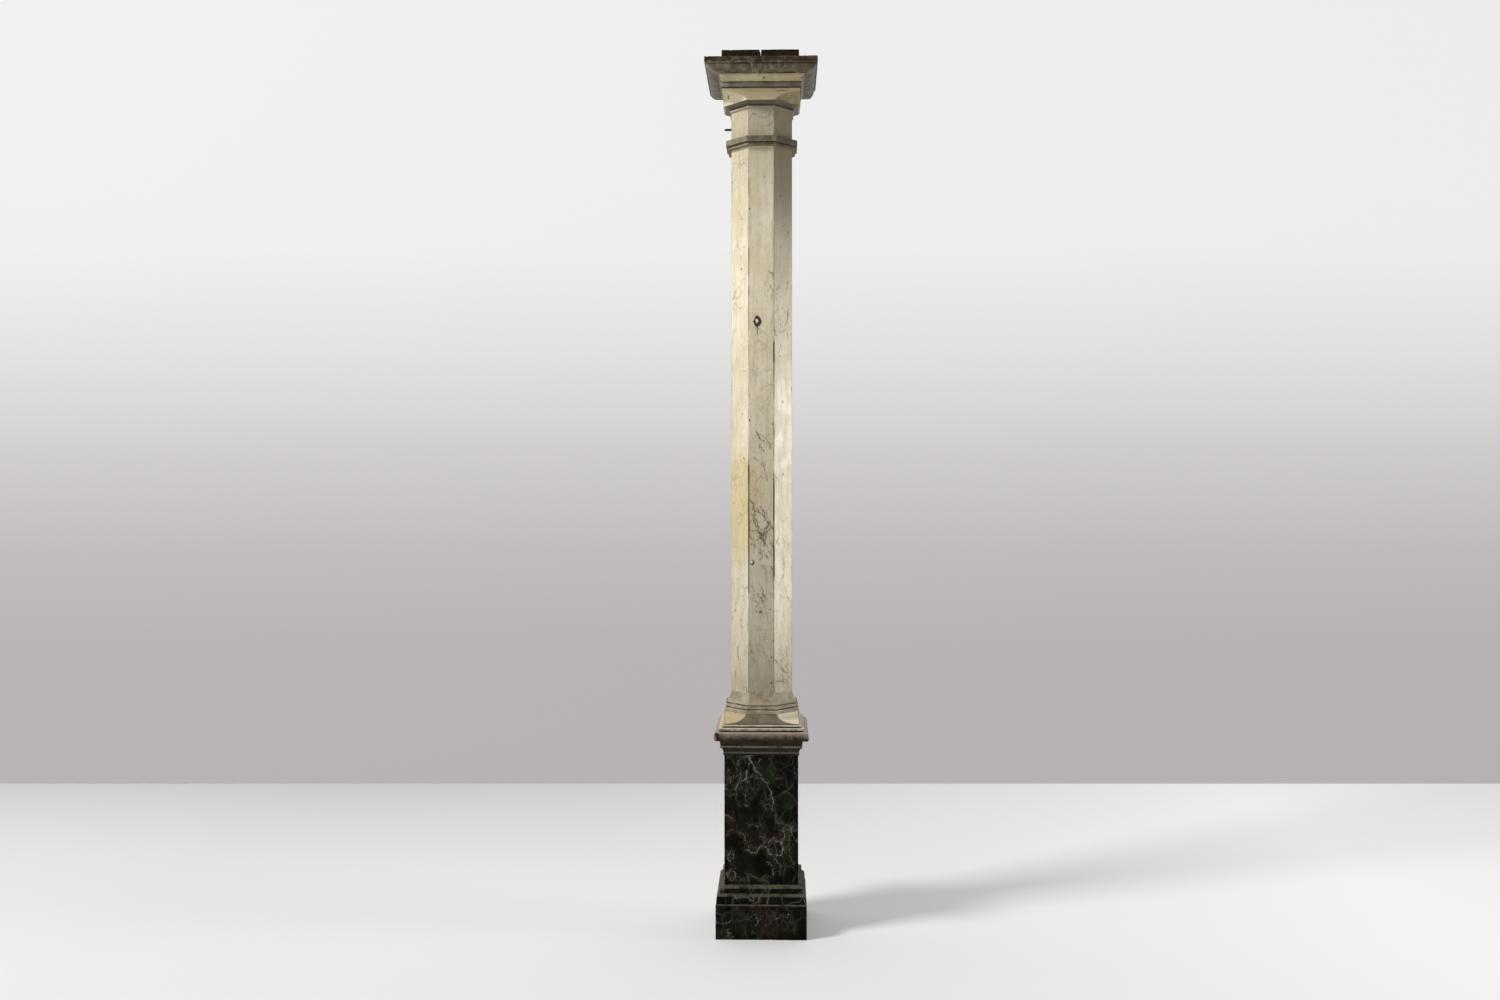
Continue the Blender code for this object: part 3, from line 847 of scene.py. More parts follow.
def grey_paint(name, ground, light, warm, streak_scale=(1, 1, 0.25), wear=BARE_PINE,
               wear_low=0.50, top_light_tint=None, crease=0.85, rough_low=0.42, rough_high=0.62):
    """Dull grey marbling of the mouldings, streaked, rubbed at the arrises, dirty and painted
    with shade in the creases, and painted lighter on what looks up when given a tint for it."""
    paint = Finish(name)
    cloud = paint.range(paint.noise(26, 5, 0.65, 0.8), 0.36, 0.68)
    colour = paint.mix(ground, light, cloud)
    streaky = paint.stretch(streak_scale)
    streaks = paint.range(paint.noise(75, 4, 0.65, 0.3, streaky), 0.48, 0.75)
    colour = paint.mix(colour, light, paint.times(streaks, 0.45))
    colour = paint.mix(colour, warm, paint.times(
        paint.range(paint.noise(14, 4, 0.6, place=paint.stretch((1, 1, 1), (1.3, 5.2, 0.4))),
                    0.50, 0.68), 0.70))
    veins = paint.times(paint.ridges(20, 0.020, 4, paint.bent(20, 0.03)),
                        paint.range(paint.noise(12, 2, 0.5), 0.45, 0.6))
    colour = paint.mix(colour, paint.mix(ground, (0, 0, 0), 0.45), paint.times(veins, 0.55))
    colour = specks(paint, colour, 85, 0.16, GRIME_AND_SHADE, 0.6)
    # Painted light: what looks up is tinted lighter, in patches
    if top_light_tint:
        up = paint.range(paint.facing_up(), 0.20, 0.80)
        patchy = paint.range(paint.noise(34, 4, 0.6), 0.20, 0.55, 0.55, 1.0)
        colour = paint.mix(colour, top_light_tint, paint.times(paint.times(up, patchy), 0.85))
    colour, lost = arris_wear(paint, colour, wear, wear_low, wear_low + 0.12, 65)
    colour = crease_dirt_and_shade(paint, colour, DEEP_BROWN, crease)
    paint_relief(paint, streaky, 0.00012, 0.00014)
    rough = paint.range(paint.noise(26, 3, 0.6), 0.3, 0.7, rough_low, rough_high)
    paint.reflect(0.25)
    return paint, colour, rough


def block_finish(name, face, stop_left, stop_right, warm, flat_marks=True):
    """The square blocks: marbled faces, hollow stops painted lighter as painted light, in their
    own tone on each side, and dirt and painted shade in the creases.
    """
    paint = Finish(name)
    light = paint.mix(face, warm, paint.range(paint.noise(24, 5, 0.65, 0.8), 0.40, 0.70))
    streaky = paint.stretch((0.14, 0.14, 1.0))
    streaks = paint.range(paint.noise(110, 4, 0.65, 0.3, streaky), 0.46, 0.75)
    colour = paint.mix(light, paint.mix(face, GRIME_AND_SHADE, 0.55), paint.times(streaks, 0.50))
    x, y, z = paint.axes()
    # Painted light and shade on the hollow stops: the left and right stops take their own tones
    side = paint.range(x, -0.02, 0.02)
    hollow = paint.mix(stop_left, stop_right, side)
    hollow = paint.mix(hollow, STRAW, paint.times(
        paint.range(paint.noise(18, 4, 0.6), 0.48, 0.68), 0.45))
    hollow = paint.mix(hollow, SMOKE, paint.times(
        paint.range(paint.noise(60, 4, 0.7), 0.52, 0.78), 0.35))
    colour = paint.mix(colour, hollow, paint.layer("stop"))
    veins = paint.times(paint.ridges(17, 0.018, 4, paint.bent(20, 0.03)),
                        paint.range(paint.noise(9, 2, 0.5), 0.46, 0.6))
    colour = paint.mix(colour, VEIN_BROWN, paint.times(veins, 0.45))
    colour = specks(paint, colour, 70, 0.12, DEEP_BROWN, 0.7)
    colour, lost = arris_wear(paint, colour, BARE_PINE, 0.52, 0.64, 65)
    colour = crease_dirt_and_shade(paint, colour, DEEP_BROWN, 0.85)
    paint_relief(paint, streaky, 0.00014, 0.00012)
    rough = paint.range(paint.noise(26, 3, 0.6), 0.3, 0.7, 0.38, 0.58)
    paint.reflect(0.30)
    return paint, colour, rough


def cap_finish():
    """The pedestal's cap: dark and brown below, and painted light where it looks up, with a
    painted highlight along the bead.
    """
    paint = Finish("Cap marbling")
    ground = (0.0115, 0.0078, 0.0042)
    colour = paint.mix(ground, (0.048, 0.034, 0.018),
                       paint.range(paint.noise(30, 5, 0.65, 1.0), 0.40, 0.70))
    colour = paint.mix(colour, (0.070, 0.034, 0.020), paint.times(
        paint.range(paint.noise(17, 4, 0.6, place=paint.stretch((1, 1, 1), (2.2, 0.4, 3.3))),
                    0.52, 0.68), 0.6))
    # Painted light on what looks up: the corona's top pale with pinkish highlights; dark blotches
    # where it doesn't look up
    facing = paint.facing_up()
    uneven = paint.times(paint.math("SUBTRACT", paint.noise(38, 4, 0.65), 0.5), 0.70)
    facing = paint.math("ADD", facing, uneven)
    corona = paint.layer("corona")
    facing = paint.times(paint.math("ADD", facing, 0.12), corona)
    half_up = paint.range(facing, 0.02, 0.62)
    colour = paint.mix(colour, (0.248, 0.199, 0.155), paint.times(half_up, 0.90))
    pinkish = paint.range(paint.noise(75, 4, 0.7), 0.46, 0.66)
    colour = paint.mix(colour, (0.380, 0.303, 0.247), paint.times(
        paint.times(half_up, pinkish), 0.55))
    up = paint.range(facing, 0.60, 0.98)
    colour = paint.mix(colour, (0.400, 0.335, 0.255), paint.times(up, 0.9))
    blotches = paint.range(paint.noise(52, 4, 0.7, place=paint.stretch((1, 1, 1), (6, 2, 9))),
                           0.52, 0.64)
    colour = paint.mix(colour, (0.020, 0.014, 0.009), paint.times(blotches, paint.times(
        paint.range(facing, 0.55, 0.25), 0.75)))
    lip = paint.layer("lip")
    colour = paint.mix(colour, (0.200, 0.178, 0.140), paint.times(lip, paint.range(
        paint.noise(50, 4, 0.6), 0.30, 0.52, 0.35, 1.0)))
    # A painted highlight along the bead
    bead = paint.layer("bead")
    colour = paint.mix(colour, (0.300, 0.262, 0.195), paint.times(bead, paint.range(
        paint.noise(44, 4, 0.6), 0.28, 0.52, 0.30, 1.0)))
    chipped = paint.layer("bare")
    colour, lost = arris_wear(paint, colour, (0.180, 0.125, 0.080), 0.50, 0.64, 60)
    charred = paint.layer("charred")
    colour = paint.mix(colour, (0.008, 0.005, 0.004), paint.times(charred, 0.92))
    colour = paint.mix(colour, (0.240, 0.135, 0.112), chipped)
    colour = crease_dirt_and_shade(paint, colour, (0.006, 0.004, 0.002), 0.9)
    streaky = paint.stretch(LEVEL_STREAKS)
    paint_relief(paint, streaky, 0.00014, 0.00016)
    rough = paint.range(paint.noise(26, 3, 0.6), 0.3, 0.7, 0.34, 0.52)
    paint.reflect(0.18)
    return paint.done(colour, rough)


def wood_finish():
    """Bare boards, nearly black with age, with the grain and saw marks raised."""
    paint = Finish("Bare darkened softwood")
    grain = paint.stretch((6.0, 0.35, 6.0), place=paint.bent(5, 0.01))
    rings = paint.noise(14, 5, 0.6, 1.0, grain)
    colour = paint.mix((0.0088, 0.0056, 0.0024), (0.0370, 0.0250, 0.0105),
                       paint.range(rings, 0.38, 0.66))
    colour = paint.mix(colour, (0.062, 0.044, 0.021), paint.times(
        paint.range(paint.noise(30, 4, 0.65), 0.52, 0.76), 0.6))
    colour, lost = arris_wear(paint, colour, (0.075, 0.052, 0.030), 0.50, 0.64, 60)
    paint.height(rings, 0.0009)
    paint.height(paint.noise(40, 3, 0.6, place=paint.stretch((1, 22, 1))), 0.0005)
    paint.reflect(0.10)
    return paint.done(colour, paint.range(paint.noise(30, 3, 0.6), 0.3, 0.7, 0.70, 0.90))


def iron_finish():
    """Iron rusted nearly black."""
    paint = Finish("Rusted iron")
    rust = paint.range(paint.noise(420, 5, 0.7), 0.46, 0.66)
    colour = paint.mix((0.0050, 0.0045, 0.0042), (0.0300, 0.0130, 0.0070), rust)
    paint.height(paint.noise(700, 4, 0.7), 0.0004)
    paint.reflect(0.20)
    return paint.done(colour, paint.range(rust, 0.0, 1.0, 0.55, 0.85))


# Veins drawn where the photograph shows them, as (x, z) points on the front face

DIE_VEINS = (
    ((-0.036, 0.596), (-0.025, 0.567), (-0.017, 0.544), (0.002, 0.526), (0.022, 0.509),
     (0.026, 0.489), (0.035, 0.460), (0.037, 0.427), (0.043, 0.406), (0.055, 0.394),
     (0.055, 0.373)),
    ((0.002, 0.588), (-0.013, 0.565), (-0.017, 0.544)),
    ((0.037, 0.600), (0.037, 0.571), (0.037, 0.538), (0.026, 0.513)),
    ((-0.046, 0.551), (-0.050, 0.522), (-0.046, 0.493), (-0.054, 0.476), (-0.056, 0.439),
     (-0.038, 0.427), (-0.036, 0.402), (-0.031, 0.369)),
    ((-0.073, 0.559), (-0.075, 0.509), (-0.081, 0.476), (-0.073, 0.435)),
    ((-0.044, 0.369), (-0.027, 0.371), (-0.007, 0.365), (0.002, 0.352), (0.000, 0.332),
     (0.008, 0.315), (0.018, 0.294), (0.035, 0.270), (0.055, 0.245), (0.059, 0.216)),
    ((0.022, 0.311), (0.043, 0.327), (0.051, 0.315), (0.070, 0.307), (0.070, 0.282),
     (0.051, 0.270)),
    ((-0.073, 0.348), (-0.056, 0.336), (-0.052, 0.311), (-0.040, 0.294)),
    ((-0.056, 0.290), (-0.036, 0.278), (-0.011, 0.282), (0.018, 0.294)),
    ((0.080, 0.369), (0.076, 0.344), (0.072, 0.319), (0.068, 0.303)),
    ((0.093, 0.352), (0.088, 0.327), (0.093, 0.303), (0.093, 0.270), (0.109, 0.241)),
    ((0.022, 0.249), (0.043, 0.232), (0.039, 0.204)),
    ((-0.118, 0.402), (-0.102, 0.394), (-0.091, 0.381), (-0.093, 0.352), (-0.114, 0.348)),
    ((0.109, 0.369), (0.101, 0.348), (0.113, 0.319)),
    ((-0.112, 0.201), (-0.106, 0.216), (-0.095, 0.217), (-0.084, 0.208), (-0.086, 0.193),
     (-0.098, 0.185), (-0.109, 0.191), (-0.112, 0.201)),
    ((-0.106, 0.212), (-0.098, 0.193), (-0.089, 0.212)),
    ((-0.102, 0.290), (-0.110, 0.270), (-0.104, 0.249), (-0.091, 0.261), (-0.095, 0.282),
     (-0.102, 0.290)),
)

SHAFT_VEINS = (
    ((-0.040, 1.443), (-0.026, 1.426), (-0.009, 1.400)),
    ((-0.033, 1.438), (-0.021, 1.395), (-0.026, 1.372), (0.003, 1.327), (0.010, 1.305),
     (0.019, 1.281)),
    ((-0.040, 1.324), (-0.021, 1.300), (-0.007, 1.277), (0.008, 1.289), (0.029, 1.274),
     (0.041, 1.266)),
    ((-0.042, 1.343), (-0.019, 1.343), (0.000, 1.317), (0.008, 1.289)),
    ((-0.004, 1.277), (-0.007, 1.244)),
    ((0.031, 1.372), (0.017, 1.334), (0.009, 1.296)),
    ((-0.016, 1.417), (0.003, 1.395), (0.029, 1.367)),
)
FAINT_SHAFT_VEINS = (
    ((-0.042, 1.006), (-0.028, 0.983), (-0.009, 0.964), (0.019, 0.957), (0.036, 0.945)),
    ((-0.033, 0.973), (-0.016, 0.959), (-0.021, 0.921)),
    ((-0.009, 0.964), (0.008, 0.935), (0.034, 0.922)),
    ((0.037, 1.801), (0.018, 1.777), (0.000, 1.748)),
    ((0.037, 1.665), (0.012, 1.648), (-0.007, 1.615)),
    ((0.030, 1.660), (0.016, 1.622), (0.006, 1.618)),
    ((-0.040, 2.708), (-0.020, 2.722), (0.007, 2.712), (0.027, 2.725), (0.042, 2.738)),
    ((-0.032, 2.738), (-0.008, 2.728), (0.022, 2.740)),
    ((0.036, 2.700), (0.024, 2.684), (0.010, 2.672)),
)

# Where short veins crowd together: (stave, across, height), spread, how many
SHAFT_CLUSTERS = (
    (7, (-0.006, 1.372), (0.026, 0.060), 26), (7, (-0.006, 0.985), (0.030, 0.036), 14),
    (7, (0.016, 1.310), (0.018, 0.030), 8), (8, (0.000, 0.890), (0.026, 0.075), 34),
    (7, (-0.005, 1.640), (0.020, 0.050), 8), (6, (0.000, 1.700), (0.020, 0.200), 10),
    (8, (0.000, 2.060), (0.022, 0.110), 22), (7, (0.030, 2.150), (0.012, 0.060), 10),
    (8, (-0.005, 1.270), (0.020, 0.060), 12), (7, (0.010, 1.160), (0.020, 0.050), 10),
    (1, (0.000, 1.500), (0.026, 0.120), 34), (2, (0.000, 2.100), (0.026, 0.120), 30),
    (3, (0.000, 1.250), (0.026, 0.120), 34), (4, (0.000, 1.900), (0.026, 0.120), 30),
    (5, (0.000, 1.050), (0.026, 0.100), 30), (2, (0.000, 0.900), (0.026, 0.060), 26),
    (4, (0.000, 0.950), (0.026, 0.060), 26), (6, (0.000, 2.300), (0.020, 0.120), 12),
    (6, (0.000, 0.900), (0.022, 0.080), 18),
)


def shaft_canvas(index, low, high):
    """The veins of one stave: placed ones, crowded short ones and faint strokes of the grain."""
    random = np.random.default_rng(100 + index)
    half = SHAFT_HALF * math.tan(math.pi / OCTAGON)
    lines = Canvas((-half - 0.004, low), (half + 0.004, high))
    grain = Canvas((-half - 0.004, low), (half + 0.004, high))
    if index == FRONT_STAVE:
        for line in SHAFT_VEINS:
            vein_with_twigs(lines, line, random, 0.95, 0.35, 0.012)
        for line in FAINT_SHAFT_VEINS:
            vein_with_twigs(lines, line, random, 0.58, 0.35, 0.012)
    for stave, centre, spread, count in SHAFT_CLUSTERS:
        if stave != index:
            continue
        for _ in range(count):
            start = np.array(centre) + random.normal(0, 1, 2) * np.array(spread)
            heading = random.choice((-0.85, -1.15, -1.25, -2.2)) + random.normal(0, 0.22)
            course = wander(random, start, heading, random.uniform(0.020, 0.085), 0.24, 0.008)
            vein_with_twigs(lines, course, random, random.uniform(0.42, 0.85), 0.35,
                            0.010)
    for _ in range(9):
        start = (random.uniform(-half, half), random.uniform(low, high))
        course = wander(random, start, random.choice((-1.2, -2.0, 0.8)),
                        random.uniform(0.05, 0.14), 0.25, 0.010)
        vein_with_twigs(lines, course, random, random.uniform(0.35, 0.6), 0.5, 0.012)
    for _ in range(90):
        start = (random.uniform(-half, half), random.uniform(low, high))
        course = wander(random, start, -math.pi / 2, random.uniform(0.03, 0.20), 0.05, 0.012)
        grain.stroke(broken_up(course, random, 0.03, 1), random.uniform(0.25, 0.8))
    for _ in range(16):
        centre = np.array((random.uniform(-half, half), random.uniform(low, high)))
        radii = np.array((random.uniform(0.006, 0.014), random.uniform(0.012, 0.040)))
        turns = np.linspace(0, random.uniform(3.5, 6.0), 14) + random.uniform(0, 6)
        oval = [centre + radii * np.array((math.cos(t), math.sin(t))) for t in turns]
        grain.stroke(broken_up(oval, random, 0.08, 1), random.uniform(0.3, 0.7))
    return lines, grain


# Pieces of the pedestal

# Soft clouds of colour on the front of the die: (across, height), radii, strength
DIE_GREENS = (
    ((0.010, 0.548), (0.045, 0.055), 0.9), ((0.030, 0.520), (0.022, 0.035), 1.0),
    ((0.084, 0.440), (0.030, 0.050), 0.8), ((-0.040, 0.480), (0.030, 0.060), 0.4),
    ((0.050, 0.255), (0.035, 0.040), 0.5), ((-0.090, 0.200), (0.030, 0.020), 0.3),
    ((-0.060, 0.375), (0.030, 0.050), 0.4),
)
DIE_BROWNS = (
    ((-0.020, 0.320), (0.040, 0.040), 0.8), ((0.012, 0.300), (0.020, 0.018), 1.0),
    ((-0.100, 0.385), (0.022, 0.050), 0.9), ((0.055, 0.325), (0.050, 0.030), 0.7),
    ((0.090, 0.270), (0.030, 0.060), 0.6), ((0.005, 0.440), (0.018, 0.030), 0.3),
)
PLINTH_CLUSTERS = ((-0.040, 0.055), (-0.012, 0.070), (0.030, 0.050), (0.060, 0.075),
                   (0.100, 0.062), (-0.085, 0.040), (-0.115, 0.080))


def marbled(half, foot, top, seed, placed=(), clusters=(), clouds=((), ()), long_veins=9,
            short_veins=26):
    """The tones of the veins and clouds on the four faces of a square member."""
    random = np.random.default_rng(seed)
    low, high = (-half - 0.01, foot - 0.01), (half + 0.01, top + 0.01)
    tall = top - foot
    names = ("vein", "haze", "green", "brown")
    faces = []
    for face in range(4):
        lines, greens, browns = (Canvas(low, high) for _ in range(3))
        front = face == 0
        for index, line in enumerate(placed if front else ()):
            vein_with_twigs(lines, line, random, 0.80 if index % 3 else 0.95)
            beside = [np.array(point) + random.normal(0, 0.005, 2) for point in line]
            vein_with_twigs(lines, beside, random, 0.55, 0.6)
        for _ in range(0 if front and placed else long_veins):
            start = (random.uniform(-half, half), foot + tall * random.uniform(0.35, 1.0))
            heading = -math.pi / 2 + random.uniform(-0.9, 0.9)
            course = wander(random, start, heading, tall * random.uniform(0.3, 0.9), 0.45, 0.012)
            vein_with_twigs(lines, course, random, random.uniform(0.5, 0.95), 0.9)
        spots = [(random.uniform(-half, half), random.uniform(foot, top)) for _ in range(5)]
        for spot in (clusters if front and clusters else spots):
            for _ in range(short_veins // 5):
                start = np.array(spot) + random.normal(0, min(0.022, tall * 0.2), 2)
                course = wander(random, start, random.uniform(0, 2 * math.pi),
                                random.uniform(0.02, 0.07), 0.6)
                vein_with_twigs(lines, course, random, random.uniform(0.35, 0.8),
                                1.2, 0.012)
        for canvas, placed_clouds, kind in ((greens, clouds[0], 0), (browns, clouds[1], 1)):
            if front and placed_clouds:
                chosen = placed_clouds
            else:
                chosen = [((random.uniform(-half, half), random.uniform(foot, top)),
                           (random.uniform(0.02, 0.06), random.uniform(0.03, 0.08)),
                           random.uniform(0.2, 0.8)) for _ in range(5)]
            for centre, radii, strength in chosen:
                canvas.blot(centre, radii, strength)
        haze = lines.blurred(0.005)
        haze.tone = np.clip(haze.tone * 1.8, 0, 1)
        faces.append(dict(zip(names, (lines, haze, greens, browns))))

    def tones(points):
        face, across = around(points)
        result = {name: np.zeros(len(points)) for name in names}
        for index, canvases in enumerate(faces):
            here = face == index
            for name, canvas in canvases.items():
                result[name][here] = canvas.at(across[here], points[here, 2])
        return result
    return tones


def build_pedestal():
    dark = marbling("Pedestal marbling", BLACK_GREEN, MOSS, RUSSET, PALE_VEIN, DUST_AND_TOP_LIGHT)
    die_paint = marbling("Die marbling", BLACK_GREEN, MOSS, RUSSET, PALE_VEIN, DUST_AND_TOP_LIGHT, True,
                         net_scale=20.0, net=0.22)
    foot_paint = marbling("Plinth marbling", SOOT_BROWN, UMBER,
                          RUSSET, DULL_VEIN, DUST_AND_TOP_LIGHT, True, net_scale=20.0, net=0.18)

    low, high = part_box("plinth")
    foot = Profile(high.x, low.z)
    foot.move(0, high.z - low.z - 0.0040).move(-0.0040, 0.0040)
    swept("Plinth", "plinth", foot, SQUARE, foot_paint, "plinth_marbling", 3, spacing=0.0027,
          values=marbled(high.x, low.z, high.z, 83, clusters=PLINTH_CLUSTERS, long_veins=6,
                         short_veins=25))

    low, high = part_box("plinth_moulding")
    swell = 0.0025
    base = Profile(high.x - swell, low.z)
    base.curve(swell, 0.01275, False).curve(-swell, 0.01275, True)
    base.move(-0.0090, 0.0080)
    base.curve(-0.0012, 0.0078, True).curve(0.0012, 0.0078, False)
    base.move(-0.0140, 0.0086)
    swept("Plinth_moulding", "plinth_moulding", base, SQUARE, dark, "plinth_marbling", 5)

    low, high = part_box("die")
    box = Profile(high.x, low.z).move(0, high.z - low.z)

    swept("Die", "die", box, SQUARE, die_paint, "plinth_marbling", 7, bore=high.x - DIE_WALL,
          spacing=0.0026, chip=0.0010,
          values=marbled(high.x, low.z, high.z, 61, DIE_VEINS, clouds=(DIE_GREENS, DIE_BROWNS)))

    low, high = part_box("pedestal_cap")
    cap = Profile(0.12548, low.z)
    cap.move(0, 0.0086)
    cap.curve(0.0088, 0.0160, True)
    cap.move(0.0010, 0).move(0, 0.0080)
    cap.curve(0.0041, 0.0180, True)
    cap.move(0.0100, 0)
    cap.curve(0.0070, 0.0075, False)
    cap.curve(-0.0095, 0.0218, True)
    bead_low, bead_high = low.z + 0.0262, low.z + 0.0330
    lip_low, lip_high = low.z + 0.0078, low.z + 0.0112
    corona_low = low.z + 0.0500

    def marks(points):
        # The bead's band, which takes a painted highlight
        bead = smooth(points[:, 2], bead_low, bead_low + 0.001)
        bead = bead * (1 - smooth(points[:, 2], bead_high - 0.001, bead_high))
        corner = np.array((-high.x, -high.x, high.z - 0.020))
        away = np.linalg.norm((points - corner) / np.array((1, 1, 1.3)), axis=1)
        away = away + 0.010 * (layered(points, 90, 2, 5) - 0.5)
        lip = smooth(points[:, 2], lip_low, lip_low + 0.001)
        lip = lip * (1 - smooth(points[:, 2], lip_high - 0.001, lip_high))
        return {"bead": bead, "lip": lip, "bare": 1 - smooth(away, 0.007, 0.011),
                "charred": 1 - smooth(away, 0.016, 0.026),
                "corona": smooth(points[:, 2], corona_low, corona_low + 0.004)}

    def chipped(points, moved, edge):
        """The left front corner of the corona has lost a flake."""
        corner = np.array((-high.x, -high.x, high.z - 0.020))
        away = np.linalg.norm((points - corner) / np.array((1, 1, 1.3)), axis=1)
        bite = 1 - smooth(away + 0.006 * (layered(points, 120, 2, 9) - 0.5), 0.003, 0.014)
        return moved + bite[:, None] * 0.0035 * np.array((0.7, 0.7, 0.1))
    swept("Pedestal_cap", "pedestal_cap", cap, SQUARE, cap_finish(), "cap_marbling", 11,
          values=marks, shape=chipped)


# Pieces of the column's base

def stopped_block(name, node, material, slot, seed, octagon_half, stop_height, stops_on_top,
                  quirk_at_foot):
    """A square block with hollow stops that cut its corners down to an octagon."""
    low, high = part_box(node)
    half = high.x
    corner = half * math.sqrt(2)
    depth = corner - octagon_half
    steps = 26
    levels = []
    for step in range(steps + 1):
        turn = math.pi / 2 * step / steps
        levels.append((stop_height * math.sin(turn), corner - depth * math.cos(turn)))
    full = high.z - low.z
    plain = np.linspace(stop_height, full - QUIRK_HEIGHT, 6)[1:] if quirk_at_foot or \
        not stops_on_top else np.linspace(stop_height, full, 6)[1:]
    levels += [(level, corner) for level in plain]
    side_columns = np.linspace(-1, 1, 37)
    stop_columns = np.linspace(0, 1, 17)[1:-1]

    rows = []
    masks = []
    edges = []
    hollows = []

    def add_row(down, diagonal, width, inset=0.0):
        scale = width / half
        reach = max(diagonal * math.sqrt(2) - half, 0)
        points, mask, edge = [], [], []
        for index in range(4):
            angle = index * math.pi / 2
            normal = np.array((math.cos(angle), math.sin(angle)))
            along = np.array((-normal[1], normal[0]))
            for t in side_columns:
                points.append((normal * half + along * reach * t) * scale)
                mask.append(0.0)
                edge.append(math.exp(-((reach * (1 - abs(t))) / EDGE_REACH) ** 2))
            start, end = normal * half + along * reach, along * half + normal * reach
            for t in stop_columns:
                points.append((start + (end - start) * t) * scale)
                chamfer = (half - reach) * math.sqrt(2)
                mask.append(1.0 if chamfer > 0.0008 else 0.0)
                edge.append(math.exp(-((chamfer * min(t, 1 - t)) / EDGE_REACH) ** 2) * 0.6)
        height = high.z - down if stops_on_top else low.z + down
        rows.append(np.column_stack([np.array(points), np.full(len(points), height)]))
        masks.extend(mask)
        edges.extend(edge)
        hollows.extend([inset] * len(points))

    add_row(0.0, levels[0][1], half * 0.35)
    add_row(0.0, levels[0][1], half * 0.97)
    for down, diagonal in levels:
        add_row(down, diagonal, half)
    sunk = half - QUIRK_DEPTH
    last = levels[-1][0]
    add_row(last, corner, sunk + 0.0010, 0.7)
    add_row(last + QUIRK_HEIGHT * 0.3, corner, sunk, 1.0)
    add_row(full, corner, sunk, 1.0)
    add_row(full, corner, half * 0.35)

    count = len(rows[0])
    points = np.concatenate(rows)
    edge = np.clip(np.array(edges), 0, 1)
    faces = capped_faces(len(rows), count)
    if stops_on_top:
        faces = [tuple(reversed(face)) for face in faces]
    moved = worn(points, faces, edge, seed, chip=0.0008)
    mesh = make_mesh(name, moved, faces, {"edge": edge, "crease": np.array(hollows),
                                          "stop": np.array(masks)}, math.radians(30))
    return new_piece(name, mesh, material, slot, node)


STEP_SHADOW = 0.0036          # the dark recess under each step
STEP_SHADOW_DEPTH = 0.0045


def build_base():
    # The steps take painted light on what looks up, and painted shade in the recess under each
    # step
    step_paint, colour, rough = grey_paint(
        "Step paint", (0.270, 0.230, 0.165), (0.430, 0.380, 0.290), (0.280, 0.195, 0.120),
        LEVEL_STREAKS, top_light_tint=(0.640, 0.570, 0.450), wear=(0.660, 0.600, 0.480),
        wear_low=0.40, crease=0.96)
    # Painted shade: the recess under each step is painted nearly black
    colour = step_paint.mix(colour, (0.0090, 0.0065, 0.0040), step_paint.layer("recess"))
    step_paint.done(colour, rough)
    for index, node in enumerate(("lower_step", "upper_step")):
        low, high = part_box(node)
        recess_top = low.z + STEP_SHADOW
        step = Profile(high.x - STEP_SHADOW_DEPTH, low.z)
        step.move(0, STEP_SHADOW).move(STEP_SHADOW_DEPTH, 0)
        step.move(0, high.z - low.z - STEP_SHADOW)
        swept(node.capitalize(), node, step, SQUARE, step_paint.material, "step_paint",
              13 + index, rounding=0.0016, values=lambda points, top=recess_top: {
                  "recess": 1 - smooth(points[:, 2], top - 0.0004, top + 0.0004)})

    block_paint, colour, rough = block_finish(
        "Base block paint", (0.205, 0.168, 0.108), (0.500, 0.405, 0.250),
        (0.700, 0.635, 0.480), (0.300, 0.262, 0.195))
    block_paint.done(colour, rough)
    stopped_block("Base_block", "base_block", block_paint.material, "base_block_paint", 17,
                  0.1244, 0.0320, True, True)


# Pieces of the shaft

OPEN_JOINT = 0.0010           # how far a stave draws back from an open joint
CLOSED_JOINT = 0.00004
KNOT = (-0.0120, 2.0360)
KNOT_RADII = (0.0150, 0.0205)
CHIP = (-0.0300, 1.2370)
CHIP_RADII = (0.0075, 0.0105)
FRONT_STAVE = 7

# Stretches of open joint: the arris between two staves, its foot and top, how far it opens
OPEN_STRETCHES = (
    ((6, 7), 1.110, 1.580, 0.8),
    ((6, 7), 1.180, 1.275, 1.0),
    ((6, 7), 1.980, 2.105, 0.35),
    ((6, 7), 2.080, 2.540, 0.34),
    ((7, 8), 1.872, 1.992, 1.0),
    ((7, 8), 1.550, 1.930, 0.42),
    ((7, 8), 1.160, 1.560, 0.7),
    ((1, 8), 1.300, 1.420, 0.5),
    ((2, 3), 0.900, 1.350, 0.7),
    ((4, 5), 1.700, 2.100, 0.6),
)

# Small dark marks: (stave, across it, height, radius)
MARKS = (
    (7, 0.011, 2.516, 0.0022), (8, -0.012, 2.457, 0.0052), (7, -0.040, 2.409, 0.0034),
    (8, 0.024, 2.339, 0.0034), (7, -0.041, 2.276, 0.0026), (6, 0.012, 1.730, 0.0026),
    (7, -0.040, 1.708, 0.0034), (7, 0.038, 1.695, 0.0030), (8, 0.000, 1.529, 0.0034),
    (6, -0.022, 1.073, 0.0034), (7, 0.029, 1.080, 0.0026), (7, 0.034, 0.922, 0.0030),
    (7, 0.033, 0.836, 0.0034), (8, 0.018, 1.382, 0.0026), (7, -0.026, 0.800, 0.0050),
)


